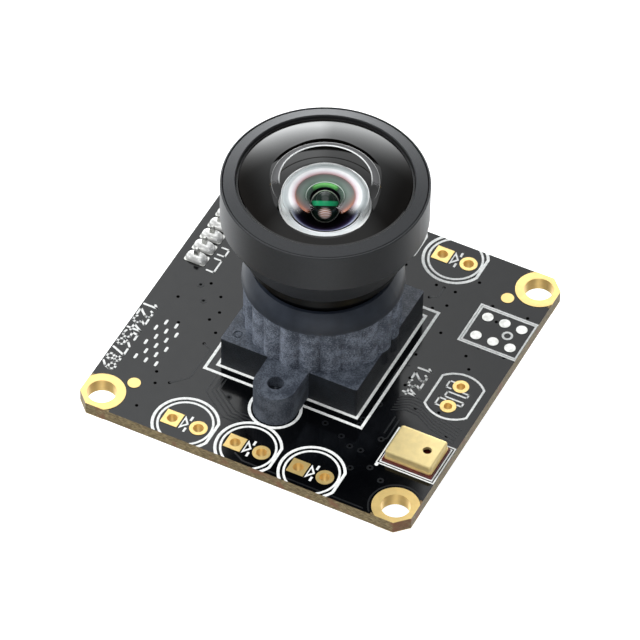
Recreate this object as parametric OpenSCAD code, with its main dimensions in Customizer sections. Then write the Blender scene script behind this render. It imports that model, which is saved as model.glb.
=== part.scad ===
// Board camera module: a square circuit board with a moulded lens holder, a focusing
// wide-angle lens screwed into it, a surface microphone, and a pin header underneath.
// The origin is the centre of the four corner holes on the board's underside, +Z to the lens.

/* [Board] */
// Side of the square circuit board
board_w = 32; // [32:0.5:38]
// Thickness of the circuit board
board_t = 1.2; // [0.8:0.1:2]
// Length taken off each board corner
board_corner = 1.15; // [0:0.05:1.6]
// Thickness of the pads on the board
pad_t = 0.05; // [0.03:0.01:0.1]
// Thickness of the plating in a drilled hole
plating_t = 0.06; // [0.03:0.01:0.1]
// Thickness of the printed legend
legend_t = 0.03; // [0.02:0.01:0.06]
// Width of the heavier printed lines
legend_line = 0.26; // [0.15:0.01:0.3]
// Width of the finer printed lines
legend_fine = 0.2; // [0.1:0.01:0.25]
// Width of the thinnest printed lines
legend_hair = 0.12; // [0.08:0.01:0.14]
// Seam between two printed lines that run side by side
legend_seam = 0.04; // [0.03:0.01:0.06]

/* [Corner holes] */
// Distance of a corner hole's centre from each board edge
corner_hole_inset = 1.8; // [1.7:0.05:2.4]
// Radius of a corner hole
corner_hole_r = 1.3; // [1:0.05:1.5]
// Radius of the plated ring round a corner hole
corner_pad_r = 2.1; // [1.8:0.05:2.4]

/* [Lamp footprints] */
// Distance between neighbouring lamp footprints
lamp_pitch = 6.1; // [6:0.05:6.5]
// Distance of the lamp footprints from the board edge
lamp_inset = 1.9; // [1.8:0.05:2]
// Half the distance between a lamp's two pads
lamp_pad_x = 1.27; // [1.2:0.01:1.4]
// Radius of a lamp's round pad and half the side of its square one
lamp_pad_r = 0.8; // [0.65:0.05:0.9]
// Radius of a lamp's lead hole
lamp_hole_r = 0.47; // [0.35:0.01:0.55]
// Radius of a lamp's outer printed ring
lamp_ring_r = 2.88; // [2.7:0.02:2.95]
// Radius of a lamp's inner printed ring
lamp_inner_r = 2.42; // [2.3:0.02:2.5]
// Distance of the flat on the outer ring from the lamp's centre
lamp_flat_x = 2.62; // [2.55:0.01:2.75]

/* [Light sensor footprint] */
// Distance of the light sensor's centre from the right board edge
light_inset = 2.85; // [2.7:0.05:3.2]
// Place of the light sensor's centre along the board
light_y = -0.6; // [-1:0.1:0.4]
// Radius of the light sensor's printed outline
light_r = 2.68; // [2.5:0.02:2.9]
// Half the width between the outline's two flats
light_flat_x = 2; // [1.8:0.05:2.2]
// Half the distance between the light sensor's pads
light_pad_y = 1.28; // [1.1:0.02:1.4]
// Radius of a light sensor pad
light_pad_r = 0.72; // [0.6:0.02:0.8]
// Radius of a light sensor lead hole
light_hole_r = 0.38; // [0.3:0.01:0.5]

/* [Six-pad footprint] */
// Distance of the six pads' centre from the right board edge
header_inset = 2.7; // [2.6:0.05:3]
// Distance of the six pads' centre from the back board edge
header_inset_y = 8.05; // [7.8:0.05:8.4]
// Distance between the pads along the long side
header_pitch_x = 1.65; // [1.5:0.05:1.7]
// Distance between the two rows of pads
header_pitch_y = 2.4; // [2.2:0.05:2.6]
// Radius of one pad
header_pad_r = 0.5; // [0.4:0.02:0.6]
// Clear width round the pads inside the printed frame
header_margin = 0.55; // [0.5:0.02:0.6]

/* [Fiducials] */
// Radius of an alignment dot
fiducial_r = 0.58; // [0.4:0.02:0.7]
// Distance of an alignment dot from the side board edges
fiducial_inset_x = 3.8; // [3.75:0.05:4.2]
// Distance of an alignment dot from the front and back board edges
fiducial_inset_y = 4; // [3.9:0.05:4.2]

/* [Lens holder] */
// Side of the holder's square base
holder_w = 13.2; // [12.8:0.1:14]
// Height of the holder's base
holder_base_h = 3.3; // [3.1:0.1:4]
// Radius on the vertical corners of the base
holder_corner_r = 0.2; // [0.1:0.05:0.5]
// Thickness of the walls round the image chamber
chamber_wall = 1.4; // [1:0.1:1.8]
// Height of the image chamber over the board
chamber_h = 2.2; // [2:0.05:2.3]
// Thickness of the web between the chamber and the thread bore
web_t = 0.7; // [0.5:0.05:0.8]
// Radius of the window in the web
window_r = 3.6; // [3:0.1:4]
// Distance between the two screw lugs
lug_pitch = 18; // [18:0.1:19]
// Radius of a screw lug
lug_r = 1.95; // [1.7:0.05:2.1]
// Radius of the hole in a screw lug
lug_hole_r = 0.74; // [0.7:0.02:0.9]
// Wall of the round barrel at the notches between its lobes
barrel_wall = 0.5; // [0.4:0.05:0.7]
// Height of the lobed part of the barrel
barrel_h = 5; // [4:0.1:6.5]
// Number of grip lobes round the barrel
lobes_n = 22; // [16:2:28]
// How far the lobes stand out past the notches
lobe_depth = 0.37; // [0.25:0.01:0.45]
// How far the shoulder stands out past the lobes
shoulder_over = 0.18; // [0.05:0.01:0.3]
// Radius of the round over the shoulder
shoulder_round = 3; // [2:0.1:4]
// Flat land between the shoulder and the thread bore
top_land = 0.3; // [0.2:0.05:0.5]
// Radius of the ejector mark on the base
ejector_r = 0.42; // [0.3:0.02:0.5]
// Distance of the ejector mark from the base's edges
ejector_inset = 1.15; // [1:0.05:1.3]
// Depth of the groove round the ejector mark
ejector_depth = 0.06; // [0.04:0.01:0.1]

/* [Holder screws] */
// Radius of a screw's shank
screw_r = 0.7; // [0.5:0.02:0.72]
// Length of the shank over the board
screw_reach = 2.7; // [2:0.1:3]
// Radius of the blunt end of a screw's point
screw_tip_r = 0.12; // [0.05:0.01:0.2]
// Height of a screw's point
screw_tip_h = 0.5; // [0.3:0.05:0.8]
// Radius of a screw's head
screw_head_r = 1.45; // [1.2:0.05:1.7]
// Height of a screw's head
screw_head_h = 0.8; // [0.6:0.05:1]
// Width of the cross slot in the head
screw_slot_w = 0.34; // [0.25:0.01:0.45]
// Depth of the cross slot in the head
screw_slot_depth = 0.45; // [0.3:0.01:0.5]

/* [Image sensor] */
// Width of the sensor package
sensor_w = 6.8; // [6:0.1:7.6]
// Depth of the sensor package
sensor_d = 6.2; // [5.5:0.1:7]
// Height of the sensor package
sensor_h = 0.75; // [0.6:0.05:0.8]
// Thickness of the cover glass on the sensor
cover_glass_t = 0.4; // [0.3:0.05:0.45]
// Rim of the package left round the cover glass
cover_glass_rim = 0.35; // [0.2:0.05:0.5]
// Side of the infrared filter
filter_w = 8.4; // [8:0.1:9]
// Thickness of the infrared filter
filter_t = 0.3; // [0.2:0.05:0.4]

/* [Lens barrel] */
// Radius of the lens's threaded shank
thread_r = 6; // [5.8:0.05:6.1]
// Running clearance between the shank and the holder's bore
thread_gap = 0.05; // [0.02:0.01:0.1]
// Length of the threaded shank
shank_l = 6.6; // [6.4:0.1:7]
// Length of shank that shows between holder and lens
focus_gap = 1.3; // [0.6:0.1:2]
// How far the neck ring stands out past the shank
neck_over = 0.8; // [0.5:0.05:0.9]
// Height of the neck ring
neck_h = 1.15; // [1:0.05:1.3]
// How far the cone's lower edge stands out past the neck ring
cone_over = 0.4; // [0.2:0.05:0.6]
// Height of the cone under the head
cone_h = 3.4; // [3:0.1:4]
// Radius of the lens head
head_r = 9; // [8.8:0.05:10]
// Height of the straight wall of the head
head_h = 3.85; // [3.7:0.05:5]
// Thickness of the head's rim round the front ring
rim_t = 0.15; // [0.1:0.01:0.2]
// Bevel on the outer edges of the head
edge_bevel = 0.08; // [0.03:0.01:0.1]
// Clearance between the front ring and the head
ring_gap = 0.05; // [0.03:0.01:0.08]
// Radius of the opening in the front ring
front_open_r = 7.68; // [7.4:0.02:7.8]
// Rise of the front ring's face from its edge to the opening
ring_rise = 0.27; // [0.1:0.01:0.4]
// Thickness of the front ring's face at its outer edge
ring_face_t = 0.5; // [0.4:0.05:0.6]
// Thickness of the front ring's skirt
ring_skirt_t = 0.45; // [0.35:0.05:0.5]
// Gap between the skirt and the glass seat
skirt_lift = 0.1; // [0.05:0.01:0.2]

/* [Lens glass] */
// Depth of the front glass's seat under the head's rim
seat_depth = 2.1; // [2:0.05:2.4]
// Width of the dark seal between glass and front ring
seal_band = 0.26; // [0.22:0.01:0.35]
// Clearance all round the seal
seal_gap = 0.05; // [0.03:0.01:0.06]
// Radius of the dome on the front glass
dome_r = 18; // [15:0.5:24]
// Height of the dome's edge over the head's rim
dome_edge_up = 0.08; // [0:0.01:0.15]
// Radius of the hollow under the front glass
hollow_r = 6.5; // [6.2:0.1:8]
// Radius of the hollow's mouth
hollow_mouth_r = 4.1; // [3.8:0.1:4.9]
// Clearance between a lens and the barrel round it
glass_gap = 0.05; // [0.02:0.01:0.08]
// Radius of the second lens's bore
second_bore_r = 5.1; // [5:0.05:5.4]
// Depth of the second lens's bore under the front seat
second_bore_h = 2.4; // [2.2:0.05:2.6]
// Height of the second lens's edge
second_edge_h = 1.1; // [0.9:0.05:1.2]
// Radius of the second lens's front face
second_front_r = 14; // [13:0.5:18]
// Radius of the hollow under the second lens
second_hollow_r = 4.85; // [4.6:0.05:6]
// Radius of that hollow's mouth
second_mouth_r = 3.25; // [3:0.05:3.35]
// Radius of the barrel's bore behind the second lens
rear_bore_r = 4.3; // [4.1:0.05:4.6]
// Radius of the opening between the second lens and the rear bore
lip_r = 3.4; // [3.3:0.05:3.6]
// Thickness of the lip round that opening
lip_t = 0.4; // [0.3:0.05:0.6]
// Thickness of the third lens at its edge
third_t = 1.8; // [1.5:0.05:2]
// Radius of the third lens's front face
third_front_r = 10; // [9:0.5:14]
// Height of the spacer behind the third lens
spacer_h = 1.1; // [0.9:0.05:1.3]
// Width of the walls of the spacers and the retainer
spacer_wall = 0.75; // [0.5:0.05:0.9]
// Thickness of the aperture stop
stop_t = 0.1; // [0.08:0.01:0.2]
// Radius of the hole in the aperture stop
stop_r = 0.9; // [0.5:0.05:1.4]
// Thickness of the rear lens at its edge
rear_t = 1.9; // [1.5:0.05:2.1]
// Radius of the rear lens's back face
rear_back_r = 9; // [8:0.5:14]
// Height of the rear spacer
rear_spacer_h = 1; // [0.9:0.05:1.1]
// Thickness of the field lens
field_t = 1.4; // [1:0.05:1.5]
// Height of the retainer behind the field lens
retainer_h = 0.9; // [0.6:0.05:1.1]
// Width of the spanner notches in the retainer
notch_w = 0.8; // [0.5:0.05:1]

/* [Microphone] */
// Distance of the microphone's centre from the right board edge
mic_inset_x = 2.8; // [2.75:0.05:3.2]
// Distance of the microphone's centre from the front board edge
mic_inset_y = 7.75; // [7.5:0.05:8]
// Width of the microphone
mic_w = 4.72; // [4.4:0.02:4.8]
// Depth of the microphone
mic_d = 3.76; // [3.4:0.02:3.8]
// Height of the microphone's substrate
mic_base_h = 0.32; // [0.25:0.01:0.4]
// Height of the can over the substrate
mic_can_h = 0.93; // [0.8:0.01:1.1]
// How far the can's foot stays inside the substrate
mic_foot_inset = 0.1; // [0.05:0.01:0.15]
// Height of the can's foot
mic_foot_h = 0.18; // [0.1:0.01:0.25]
// How far the can's wall stands back from its foot
mic_wall_inset = 0.05; // [0.03:0.01:0.1]
// Round on the can's top edge
mic_round = 0.17; // [0.1:0.01:0.22]
// Radius of the can's upright corners
mic_corner_r = 0.26; // [0.23:0.01:0.29]
// Radius of the sound port
mic_port_r = 0.4; // [0.25:0.01:0.5]
// Distance of the port from the microphone's centre
mic_port_x = 1.05; // [0.8:0.05:1.3]
// Thickness of the can's walls and lid
mic_shell = 0.32; // [0.3:0.01:0.35]

/* [Pin header] */
// Distance of the pin row from the left board edge
plug_inset = 1.8; // [1.8:0.05:2.2]
// Distance of the pin row's middle from the back board edge
plug_inset_y = 9.4; // [9.2:0.1:10]
// Number of pins
plug_pins = 5; // [3:1:5]
// Distance between the pins
plug_pitch = 1.5; // [1.4:0.05:1.5]
// Side of a square pin
pin_w = 0.4; // [0.3:0.02:0.45]
// How far the pins stand over the board
pin_over = 1.35; // [1:0.05:1.8]
// Height of the bevel at a pin's ends
pin_tip = 0.2; // [0.1:0.02:0.3]
// Clearance round a pin in the housing
pin_gap = 0.02; // [0.01:0.01:0.05]
// Depth of the header housing across the pin row
plug_d = 3.5; // [3.3:0.1:3.6]
// Height of the header housing under the board
plug_h = 5.2; // [4.8:0.1:6]
// Width of housing past the end pins
plug_end = 1.5; // [1.4:0.05:1.8]
// Thickness of the housing's walls
plug_wall = 0.55; // [0.45:0.05:0.7]
// Thickness of the housing's floor against the board
plug_floor = 1; // [0.8:0.05:1.4]
// Width of the two latch slots in the housing's inner side
plug_slot_w = 1; // [0.8:0.05:1.2]
// Depth of the latch slots
plug_slot_h = 2.6; // [2:0.1:3.4]
// Length of a solder pad across the pin row
solder_l = 2.05; // [1.8:0.05:2.2]
// Width of a solder pad along the pin row
solder_w = 1.24; // [1:0.02:1.28]
// Height of the solder on a pad
solder_h = 0.62; // [0.4:0.02:0.8]

/* [Underside parts] */
// Side of the controller's body
controller_w = 7; // [6:0.1:7]
// Height of the controller's body
controller_h = 1.4; // [1:0.05:1.6]
// Leads on each side of the controller
controller_leads_n = 12; // [8:1:12]
// Distance between the controller's leads
controller_pitch = 0.5; // [0.4:0.05:0.5]
// Length of the memory chip's body
memory_w = 4.9; // [4.5:0.05:5]
// Depth of the memory chip's body
memory_d = 3.9; // [3.6:0.05:4]
// Height of the memory chip's body
memory_h = 1.5; // [1.2:0.05:1.7]
// Leads on each side of the memory chip
memory_leads_n = 4; // [2:1:4]
// Distance between the memory chip's leads
memory_pitch = 1.27; // [1.1:0.01:1.3]
// Width of a voltage regulator's body
regulator_w = 2.9; // [2.7:0.05:3]
// Depth of a voltage regulator's body
regulator_d = 1.3; // [1.2:0.05:1.5]
// Height of a voltage regulator's body
regulator_h = 1.05; // [0.9:0.05:1.2]
// Gap between a chip's body and the board
chip_lift = 0.1; // [0.05:0.01:0.15]
// Reach of a chip's leads past its body
lead_reach = 1; // [0.9:0.05:1.1]
// Thickness of a chip's leads
lead_t = 0.15; // [0.1:0.01:0.2]
// Length of a lead's foot on the board
lead_foot = 0.5; // [0.4:0.02:0.55]
// Width of the crystal's can
crystal_w = 3.2; // [3:0.05:3.4]
// Depth of the crystal's can
crystal_d = 2.5; // [2.3:0.05:2.7]
// Height of the crystal's can
crystal_h = 0.75; // [0.6:0.05:0.9]
// Side of the inductor
inductor_w = 3; // [2.8:0.05:3.2]
// Height of the inductor
inductor_h = 1.5; // [1.2:0.05:1.8]
// Length of a capacitor
capacitor_l = 1.6; // [1.4:0.05:1.7]
// Width and height of a capacitor
capacitor_w = 0.8; // [0.7:0.02:0.9]
// Length of a resistor
resistor_l = 1; // [0.9:0.02:1.1]
// Width of a resistor
resistor_w = 0.5; // [0.45:0.01:0.6]
// Height of a resistor
resistor_h = 0.35; // [0.3:0.01:0.4]
// Share of a part's length that each metal end covers
end_share = 0.22; // [0.15:0.01:0.3]

/* [Hidden] */
$fn = 96;

// Overshoot that keeps a cut clear of the face it opens
cut = 0.1;
// Clearance between a plated barrel or a printed line and the piece beside it
snug = 0.02;

half_board = board_w / 2;
corner_hole_at = half_board - corner_hole_inset;
lamp_y = half_board - lamp_inset;
light_x = half_board - light_inset;
header_x = half_board - header_inset;
header_y = half_board - header_inset_y;
mic_x = half_board - mic_inset_x;
mic_y = mic_inset_y - half_board;
plug_x = plug_inset - half_board;
plug_y = half_board - plug_inset_y;
lug_y = lug_pitch / 2;

bore_r = thread_r + thread_gap;
wall_r = bore_r + barrel_wall;
crest_r = wall_r + lobe_depth;
shoulder_r = crest_r + shoulder_over;
land_r = bore_r + top_land;
shoulder_h = sqrt(pow(shoulder_round, 2) - pow(shoulder_round - (shoulder_r - land_r), 2));
holder_h = holder_base_h + barrel_h + shoulder_h;

neck_r = thread_r + neck_over;
cone_r = neck_r + cone_over;
neck_z = board_t + holder_h + focus_gap;
head_z = neck_h + cone_h;
rim_z = head_z + head_h;
seat_z = rim_z - seat_depth;
head_bore_r = head_r - rim_t;
ring_r = head_bore_r - ring_gap;
skirt_r = ring_r - ring_skirt_t;
flange_r = skirt_r - glass_gap;
ring_under_z = rim_z - ring_face_t;
dome_edge_r = front_open_r - seal_band;
dome_edge_z = rim_z + dome_edge_up;
dome_centre_z = dome_edge_z - sqrt(pow(dome_r, 2) - pow(dome_edge_r, 2));
hollow_centre_z = seat_z - sqrt(pow(hollow_r, 2) - pow(hollow_mouth_r, 2));
second_z = seat_z - second_bore_h;
second_r = second_bore_r - glass_gap;
lens_r = rear_bore_r - glass_gap;
third_z = second_z - lip_t;
spacer_z = third_z - third_t;
stop_z = spacer_z - spacer_h;
rear_z = stop_z - stop_t;
rear_spacer_z = rear_z - rear_t;
field_z = rear_spacer_z - rear_spacer_h;
retainer_z = field_z - field_t;
spacer_in_r = lens_r - spacer_wall;

// Places of the small parts under the board: [x, y, turn]
controller_at = [-3.2, 0, 0];
memory_at = [7, 3.6, 90];
regulators_at = [[7, -4.2, 0], [7, -8.2, 0]];
crystal_at = [-9.4, -4.6, 90];
inductor_at = [-9.2, -9.4, 0];
capacitors_at = [
    [-10.2, -1, 90], [-11.8, -1, 90], [-4.6, 6.4, 0], [-7.2, 6.4, 0], [-4.4, -6.4, 0],
    [-7, -6.4, 0], [4.1, -4.2, 90], [4.1, -8.2, 90], [10.4, -4.2, 90], [10.4, -8.2, 90],
    [4.2, 8.2, 0], [7, 8.2, 0], [-6, -10, 90], [-12, -9.4, 90]
];
resistors_at = [
    [-1.6, 6.4, 90], [-0.2, 5.7, 90], [-1.4, -6.4, 90], [0.2, -5.8, 90], [3, 2.4, 90],
    [3, 0.4, 90], [3, -1.6, 90], [11.2, 3, 90], [11.2, 5, 90], [-4.4, -8.6, 0],
    [-6.8, 8.2, 0], [-4.6, 8.2, 0]
];

// Small parts of the chips' own form
chip_bevel = 0.12;
lead_w_controller = 0.22;
lead_w_memory = 0.42;
lead_w_regulator = 0.4;
regulator_lead_pitch = 0.95;
inductor_pad = 0.7;
inductor_bevel = 0.3;
crystal_lid_inset = 0.25;
crystal_lid_h = 0.2;
solder_end_r = 0.2;
pin_bevel = pin_w / 4;
// A round hole that clears the corners of a square pin
pin_hole_r = pin_w / sqrt(2) + snug;

// Shares of a holder screw's head: bevelled height, radius of its face, reach of the slot
screw_bevel_share = 0.35;
screw_face_share = 0.8;
screw_slot_share = 0.65;

// Printed marks: ring between the six pads, diode sign, margins round the parts, first-pin dot
header_mark_r = 0.5;
header_mark_hole_r = 0.3;
diode_w = 0.32;
diode_d = 0.8;
diode_bar = 0.5;
holder_print_margin = 1;
lug_print_margin = 0.3;
mic_print_margin = 0.22;
mic_dot_r = 0.17;

// ---------- shared shapes ----------

module board_outline() {
    diagonal = sqrt(2) * board_corner;
    difference() {
        square(board_w, center = true);
        for (turn = [0:90:270])
            rotate(turn)
                translate([half_board, half_board])
                    rotate(45)
                        square([diagonal, 2 * diagonal], center = true);
    }
}

module at_corners() {
    for (x = [-1, 1], y = [-1, 1])
        translate([x * corner_hole_at, y * corner_hole_at])
            children();
}

module at_lamps() {
    for (row = [-1, 1], step = [-1:1])
        translate([step * lamp_pitch, row * lamp_y])
            children();
}

module at_light_pads() {
    for (side = [-1, 1])
        translate([light_x, light_y + side * light_pad_y])
            children();
}

module at_fiducials() {
    for (side = [-1, 1])
        translate([side * (half_board - fiducial_inset_x), side * (half_board - fiducial_inset_y)])
            children();
}

module at_pins() {
    for (step = [0:plug_pins - 1])
        translate([plug_x, plug_y + (step - (plug_pins - 1) / 2) * plug_pitch])
            children();
}

module at_lugs() {
    for (side = [-1, 1])
        translate([0, side * lug_y])
            children();
}

module drill(r) {
    translate([0, 0, -cut])
        cylinder(r = r, h = board_t + 2 * cut);
}

// A plated hole: the barrel through the board, with the child outline as a pad on each face
module plated_hole(r) {
    difference() {
        union() {
            translate([0, 0, -pad_t])
                linear_extrude(pad_t)
                    children();
            translate([0, 0, board_t])
                linear_extrude(pad_t)
                    children();
            cylinder(r = r + plating_t, h = board_t);
        }
        translate([0, 0, -pad_t])
            drill(r);
        translate([0, 0, pad_t])
            drill(r);
    }
}

module rounded_rect(w, d, r) {
    square([w - 2 * r, d], center = true);
    square([w, d - 2 * r], center = true);
    for (x = [-1, 1], y = [-1, 1])
        translate([x * (w / 2 - r), y * (d / 2 - r)])
            circle(r);
}

module ring_2d(outer, inner) {
    difference() {
        circle(outer);
        circle(inner);
    }
}

// A slab whose profile across x is bevelled by `side` inwards over a height of `rise`
module bevelled_slab(w, d, h, side, rise) {
    rotate([90, 0, 0])
        translate([0, 0, -d / 2])
            linear_extrude(d)
                polygon([
                    [-w / 2, rise], [-w / 2, h - rise], [side - w / 2, h], [w / 2 - side, h],
                    [w / 2, h - rise], [w / 2, rise], [w / 2 - side, 0], [side - w / 2, 0]
                ]);
}

// A block whose eight level edges are bevelled
module bevelled_block(w, d, h, side, rise) {
    intersection() {
        bevelled_slab(w, d, h, side, rise);
        rotate(90)
            bevelled_slab(d, w, h, side, rise);
    }
}

module tube(outer, inner, h) {
    linear_extrude(h)
        ring_2d(outer, inner);
}

// ---------- board, pads and print ----------

module circuit_board() {
    color("#141518")
        difference() {
            linear_extrude(board_t)
                board_outline();
            at_corners()
                drill(corner_hole_r + plating_t + snug);
            at_lamps()
                for (side = [-1, 1])
                    translate([side * lamp_pad_x, 0])
                        drill(lamp_hole_r + plating_t + snug);
            at_light_pads()
                drill(light_hole_r + plating_t + snug);
            at_pins()
                drill(pin_hole_r + plating_t + snug);
            at_lugs()
                drill(screw_r + snug);
        }
}

module corner_hole_plating() {
    color("#e2bf74")
        intersection() {
            at_corners()
                plated_hole(corner_hole_r)
                    circle(corner_pad_r);
            translate([0, 0, -cut])
                linear_extrude(board_t + 2 * cut)
                    board_outline();
        }
}

module lamp_pads() {
    color("#e2bf74")
        at_lamps() {
            translate([-lamp_pad_x, 0])
                plated_hole(lamp_hole_r)
                    square(2 * lamp_pad_r, center = true);
            translate([lamp_pad_x, 0])
                plated_hole(lamp_hole_r)
                    circle(lamp_pad_r);
        }
}

module light_sensor_pads() {
    color("#e2bf74")
        at_light_pads()
            plated_hole(light_hole_r)
                circle(light_pad_r);
}

module header_pads() {
    color("#d8d8d4")
        translate([header_x, header_y, board_t])
            for (column = [-1:1], row = [-1, 1])
                translate([column * header_pitch_x, row * header_pitch_y / 2])
                    cylinder(r = header_pad_r, h = pad_t);
}

module fiducials() {
    color("#e2bf74")
        translate([0, 0, board_t])
            at_fiducials()
                cylinder(r = fiducial_r, h = pad_t);
}

module connector_pads() {
    color("#d8d8d4")
        at_pins()
            plated_hole(pin_hole_r)
                rounded_rect(solder_l, solder_w, solder_end_r);
}

// Outline of a lamp's body: a circle with a flat on its right
module lamp_body(r, flat) {
    intersection() {
        circle(r);
        translate([flat - 2 * r, -r])
            square(2 * r);
    }
}

module lamp_print() {
    line = legend_line;
    difference() {
        lamp_body(lamp_ring_r + line / 2, lamp_flat_x + line / 2);
        lamp_body(lamp_ring_r - line / 2, lamp_flat_x - line / 2);
    }
    ring_2d(lamp_inner_r + legend_fine / 2, lamp_inner_r - legend_fine / 2);
    diode_print();
}

// Diode sign between a lamp's pads
module diode_print() {
    difference() {
        polygon([[-diode_w, -diode_d], [diode_w, 0], [-diode_w, diode_d]]);
        polygon([
            [-diode_w + legend_fine / 2, -diode_d + 2 * legend_fine],
            [diode_w - legend_fine, 0],
            [-diode_w + legend_fine / 2, diode_d - 2 * legend_fine]
        ]);
    }
    for (side = [-1, 1])
        translate([diode_w - legend_fine / 4, side * diode_bar + side * legend_fine])
            square([legend_fine, diode_bar], center = true);
}

module light_body(r, flat) {
    intersection() {
        circle(r);
        square([2 * flat, 2 * r], center = true);
    }
}

module light_print() {
    line = legend_fine;
    difference() {
        light_body(light_r + line / 2, light_flat_x + line / 2);
        light_body(light_r - line / 2, light_flat_x - line / 2);
    }
}

// Plan of the holder grown by a margin
module holder_plan(margin) {
    square(holder_w + 2 * margin, center = true);
    at_lugs()
        circle(lug_r + margin);
    square([2 * (lug_r + margin), lug_pitch], center = true);
}

module holder_print_plan(line) {
    square(holder_w + 2 * holder_print_margin + line, center = true);
    at_lugs()
        circle(lug_r + lug_print_margin + line / 2);
}

// Printed lines round the holder's foot
module holder_print() {
    square(holder_w + 2 * (snug + legend_line), center = true);
    difference() {
        holder_print_plan(legend_line);
        holder_print_plan(-legend_line);
    }
}

module frame_print(w, d, line) {
    difference() {
        square([w + line, d + line], center = true);
        square([w - line, d - line], center = true);
    }
}

// Two lines side by side round a rectangle, with a seam between them
module double_frame_print(w, d, line, seam) {
    spread = line + seam;
    for (side = [-1, 1])
        frame_print(w + side * spread, d + side * spread, line);
}

module mic_print() {
    double_frame_print(
        mic_w + 2 * mic_print_margin, mic_d + 2 * mic_print_margin, legend_hair, legend_hair
    );
    translate([-mic_w / 2 - mic_print_margin, -mic_d / 2 - mic_print_margin - 2 * mic_dot_r])
        circle(mic_dot_r);
}

module header_print() {
    reach = 2 * (header_pad_r + header_margin);
    double_frame_print(
        2 * header_pitch_x + reach, header_pitch_y + reach, legend_fine - legend_seam, legend_seam
    );
    translate([header_pitch_x / 2, 0])
        ring_2d(header_mark_r, header_mark_hole_r);
}

// Where nothing is printed: under the holder and on the gold of corners and dots
module unprinted() {
    holder_plan(snug);
    at_corners()
        circle(corner_pad_r + snug);
    at_fiducials()
        circle(fiducial_r + snug);
}

module legend() {
    color("#f2f2ee")
        translate([0, 0, board_t])
            linear_extrude(legend_t)
                difference() {
                    intersection() {
                        board_outline();
                        union() {
                            at_lamps()
                                lamp_print();
                            translate([light_x, light_y])
                                light_print();
                            translate([header_x, header_y])
                                header_print();
                            translate([mic_x, mic_y])
                                mic_print();
                            holder_print();
                        }
                    }
                    unprinted();
                }
}

// ---------- lens holder and what it covers ----------

// Plan of the barrel: round lobes that meet in notches, two of them on the lug line
module barrel_plan() {
    pitch = 360 / lobes_n;
    notch_x = wall_r * cos(pitch / 2);
    lobe_at = (pow(crest_r, 2) - pow(wall_r, 2)) / (2 * (crest_r - notch_x));
    circle(lobe_at);
    for (turn = [0:lobes_n - 1])
        rotate(90 + turn * pitch)
            translate([lobe_at, 0])
                circle(crest_r - lobe_at);
}

// Rounded shoulder that closes the barrel's top
module shoulder() {
    rotate_extrude()
        intersection() {
            translate([bore_r, 0])
                square([shoulder_r - bore_r, shoulder_h]);
            translate([shoulder_r - shoulder_round, 0])
                circle(shoulder_round);
        }
}

module holder_base() {
    difference() {
        linear_extrude(holder_base_h) {
            rounded_rect(holder_w, holder_w, holder_corner_r);
            at_lugs()
                circle(lug_r);
            square([2 * lug_r, lug_pitch], center = true);
        }
        translate([
            ejector_inset - holder_w / 2,
            ejector_inset - holder_w / 2,
            holder_base_h - ejector_depth
        ])
            tube(ejector_r, ejector_r - 2 * ejector_depth, ejector_depth + cut);
    }
}

module lens_holder() {
    chamber_w = holder_w - 2 * chamber_wall;
    bore_z = chamber_h + web_t;
    color("#2b2e33")
        translate([0, 0, board_t])
            difference() {
                union() {
                    holder_base();
                    translate([0, 0, holder_base_h / 2])
                        linear_extrude(holder_base_h / 2 + barrel_h)
                            barrel_plan();
                    translate([0, 0, holder_base_h + barrel_h])
                        shoulder();
                }
                translate([0, 0, bore_z])
                    cylinder(r = bore_r, h = holder_h);
                translate([0, 0, chamber_h - cut])
                    cylinder(r = window_r, h = web_t + 2 * cut);
                translate([-chamber_w / 2, -chamber_w / 2, -cut])
                    cube([chamber_w, chamber_w, chamber_h + cut]);
                at_lugs()
                    translate([0, 0, -cut])
                        cylinder(r = lug_hole_r, h = holder_base_h + 2 * cut);
            }
}

module holder_screw() {
    face_r = screw_face_share * screw_head_r;
    bevel_h = screw_bevel_share * screw_head_h;
    slot_l = 2 * screw_slot_share * screw_head_r;
    difference() {
        union() {
            cylinder(r = screw_r, h = board_t + screw_reach - screw_tip_h);
            translate([0, 0, board_t + screw_reach - screw_tip_h])
                cylinder(r1 = screw_r, r2 = screw_tip_r, h = screw_tip_h);
            translate([0, 0, -screw_head_h])
                cylinder(r1 = face_r, r2 = screw_head_r, h = bevel_h);
            translate([0, 0, bevel_h - screw_head_h])
                cylinder(r = screw_head_r, h = screw_head_h - bevel_h);
        }
        for (turn = [0, 90])
            rotate(turn)
                translate([-slot_l / 2, -screw_slot_w / 2, -screw_head_h - cut])
                    cube([slot_l, screw_slot_w, screw_slot_depth + cut]);
    }
}

module holder_screws() {
    color("#9a9ca0")
        at_lugs()
            holder_screw();
}

module image_sensor() {
    color("#3a3c42")
        translate([-sensor_w / 2, -sensor_d / 2, board_t])
            cube([sensor_w, sensor_d, sensor_h]);
}

module sensor_glass() {
    rim = 2 * cover_glass_rim;
    color("#8fb0c8", 0.5)
        translate([cover_glass_rim - sensor_w / 2, cover_glass_rim - sensor_d / 2, board_t + sensor_h])
            cube([sensor_w - rim, sensor_d - rim, cover_glass_t]);
}

module infrared_filter() {
    color("#b06a90", 0.5)
        translate([-filter_w / 2, -filter_w / 2, board_t + chamber_h - filter_t])
            cube([filter_w, filter_w, filter_t]);
}

// ---------- microphone ----------

module microphone_base() {
    color("#5a1f16")
        translate([mic_x, mic_y, board_t])
            translate([-mic_w / 2, -mic_d / 2])
                cube([mic_w, mic_d, mic_base_h]);
}

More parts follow.
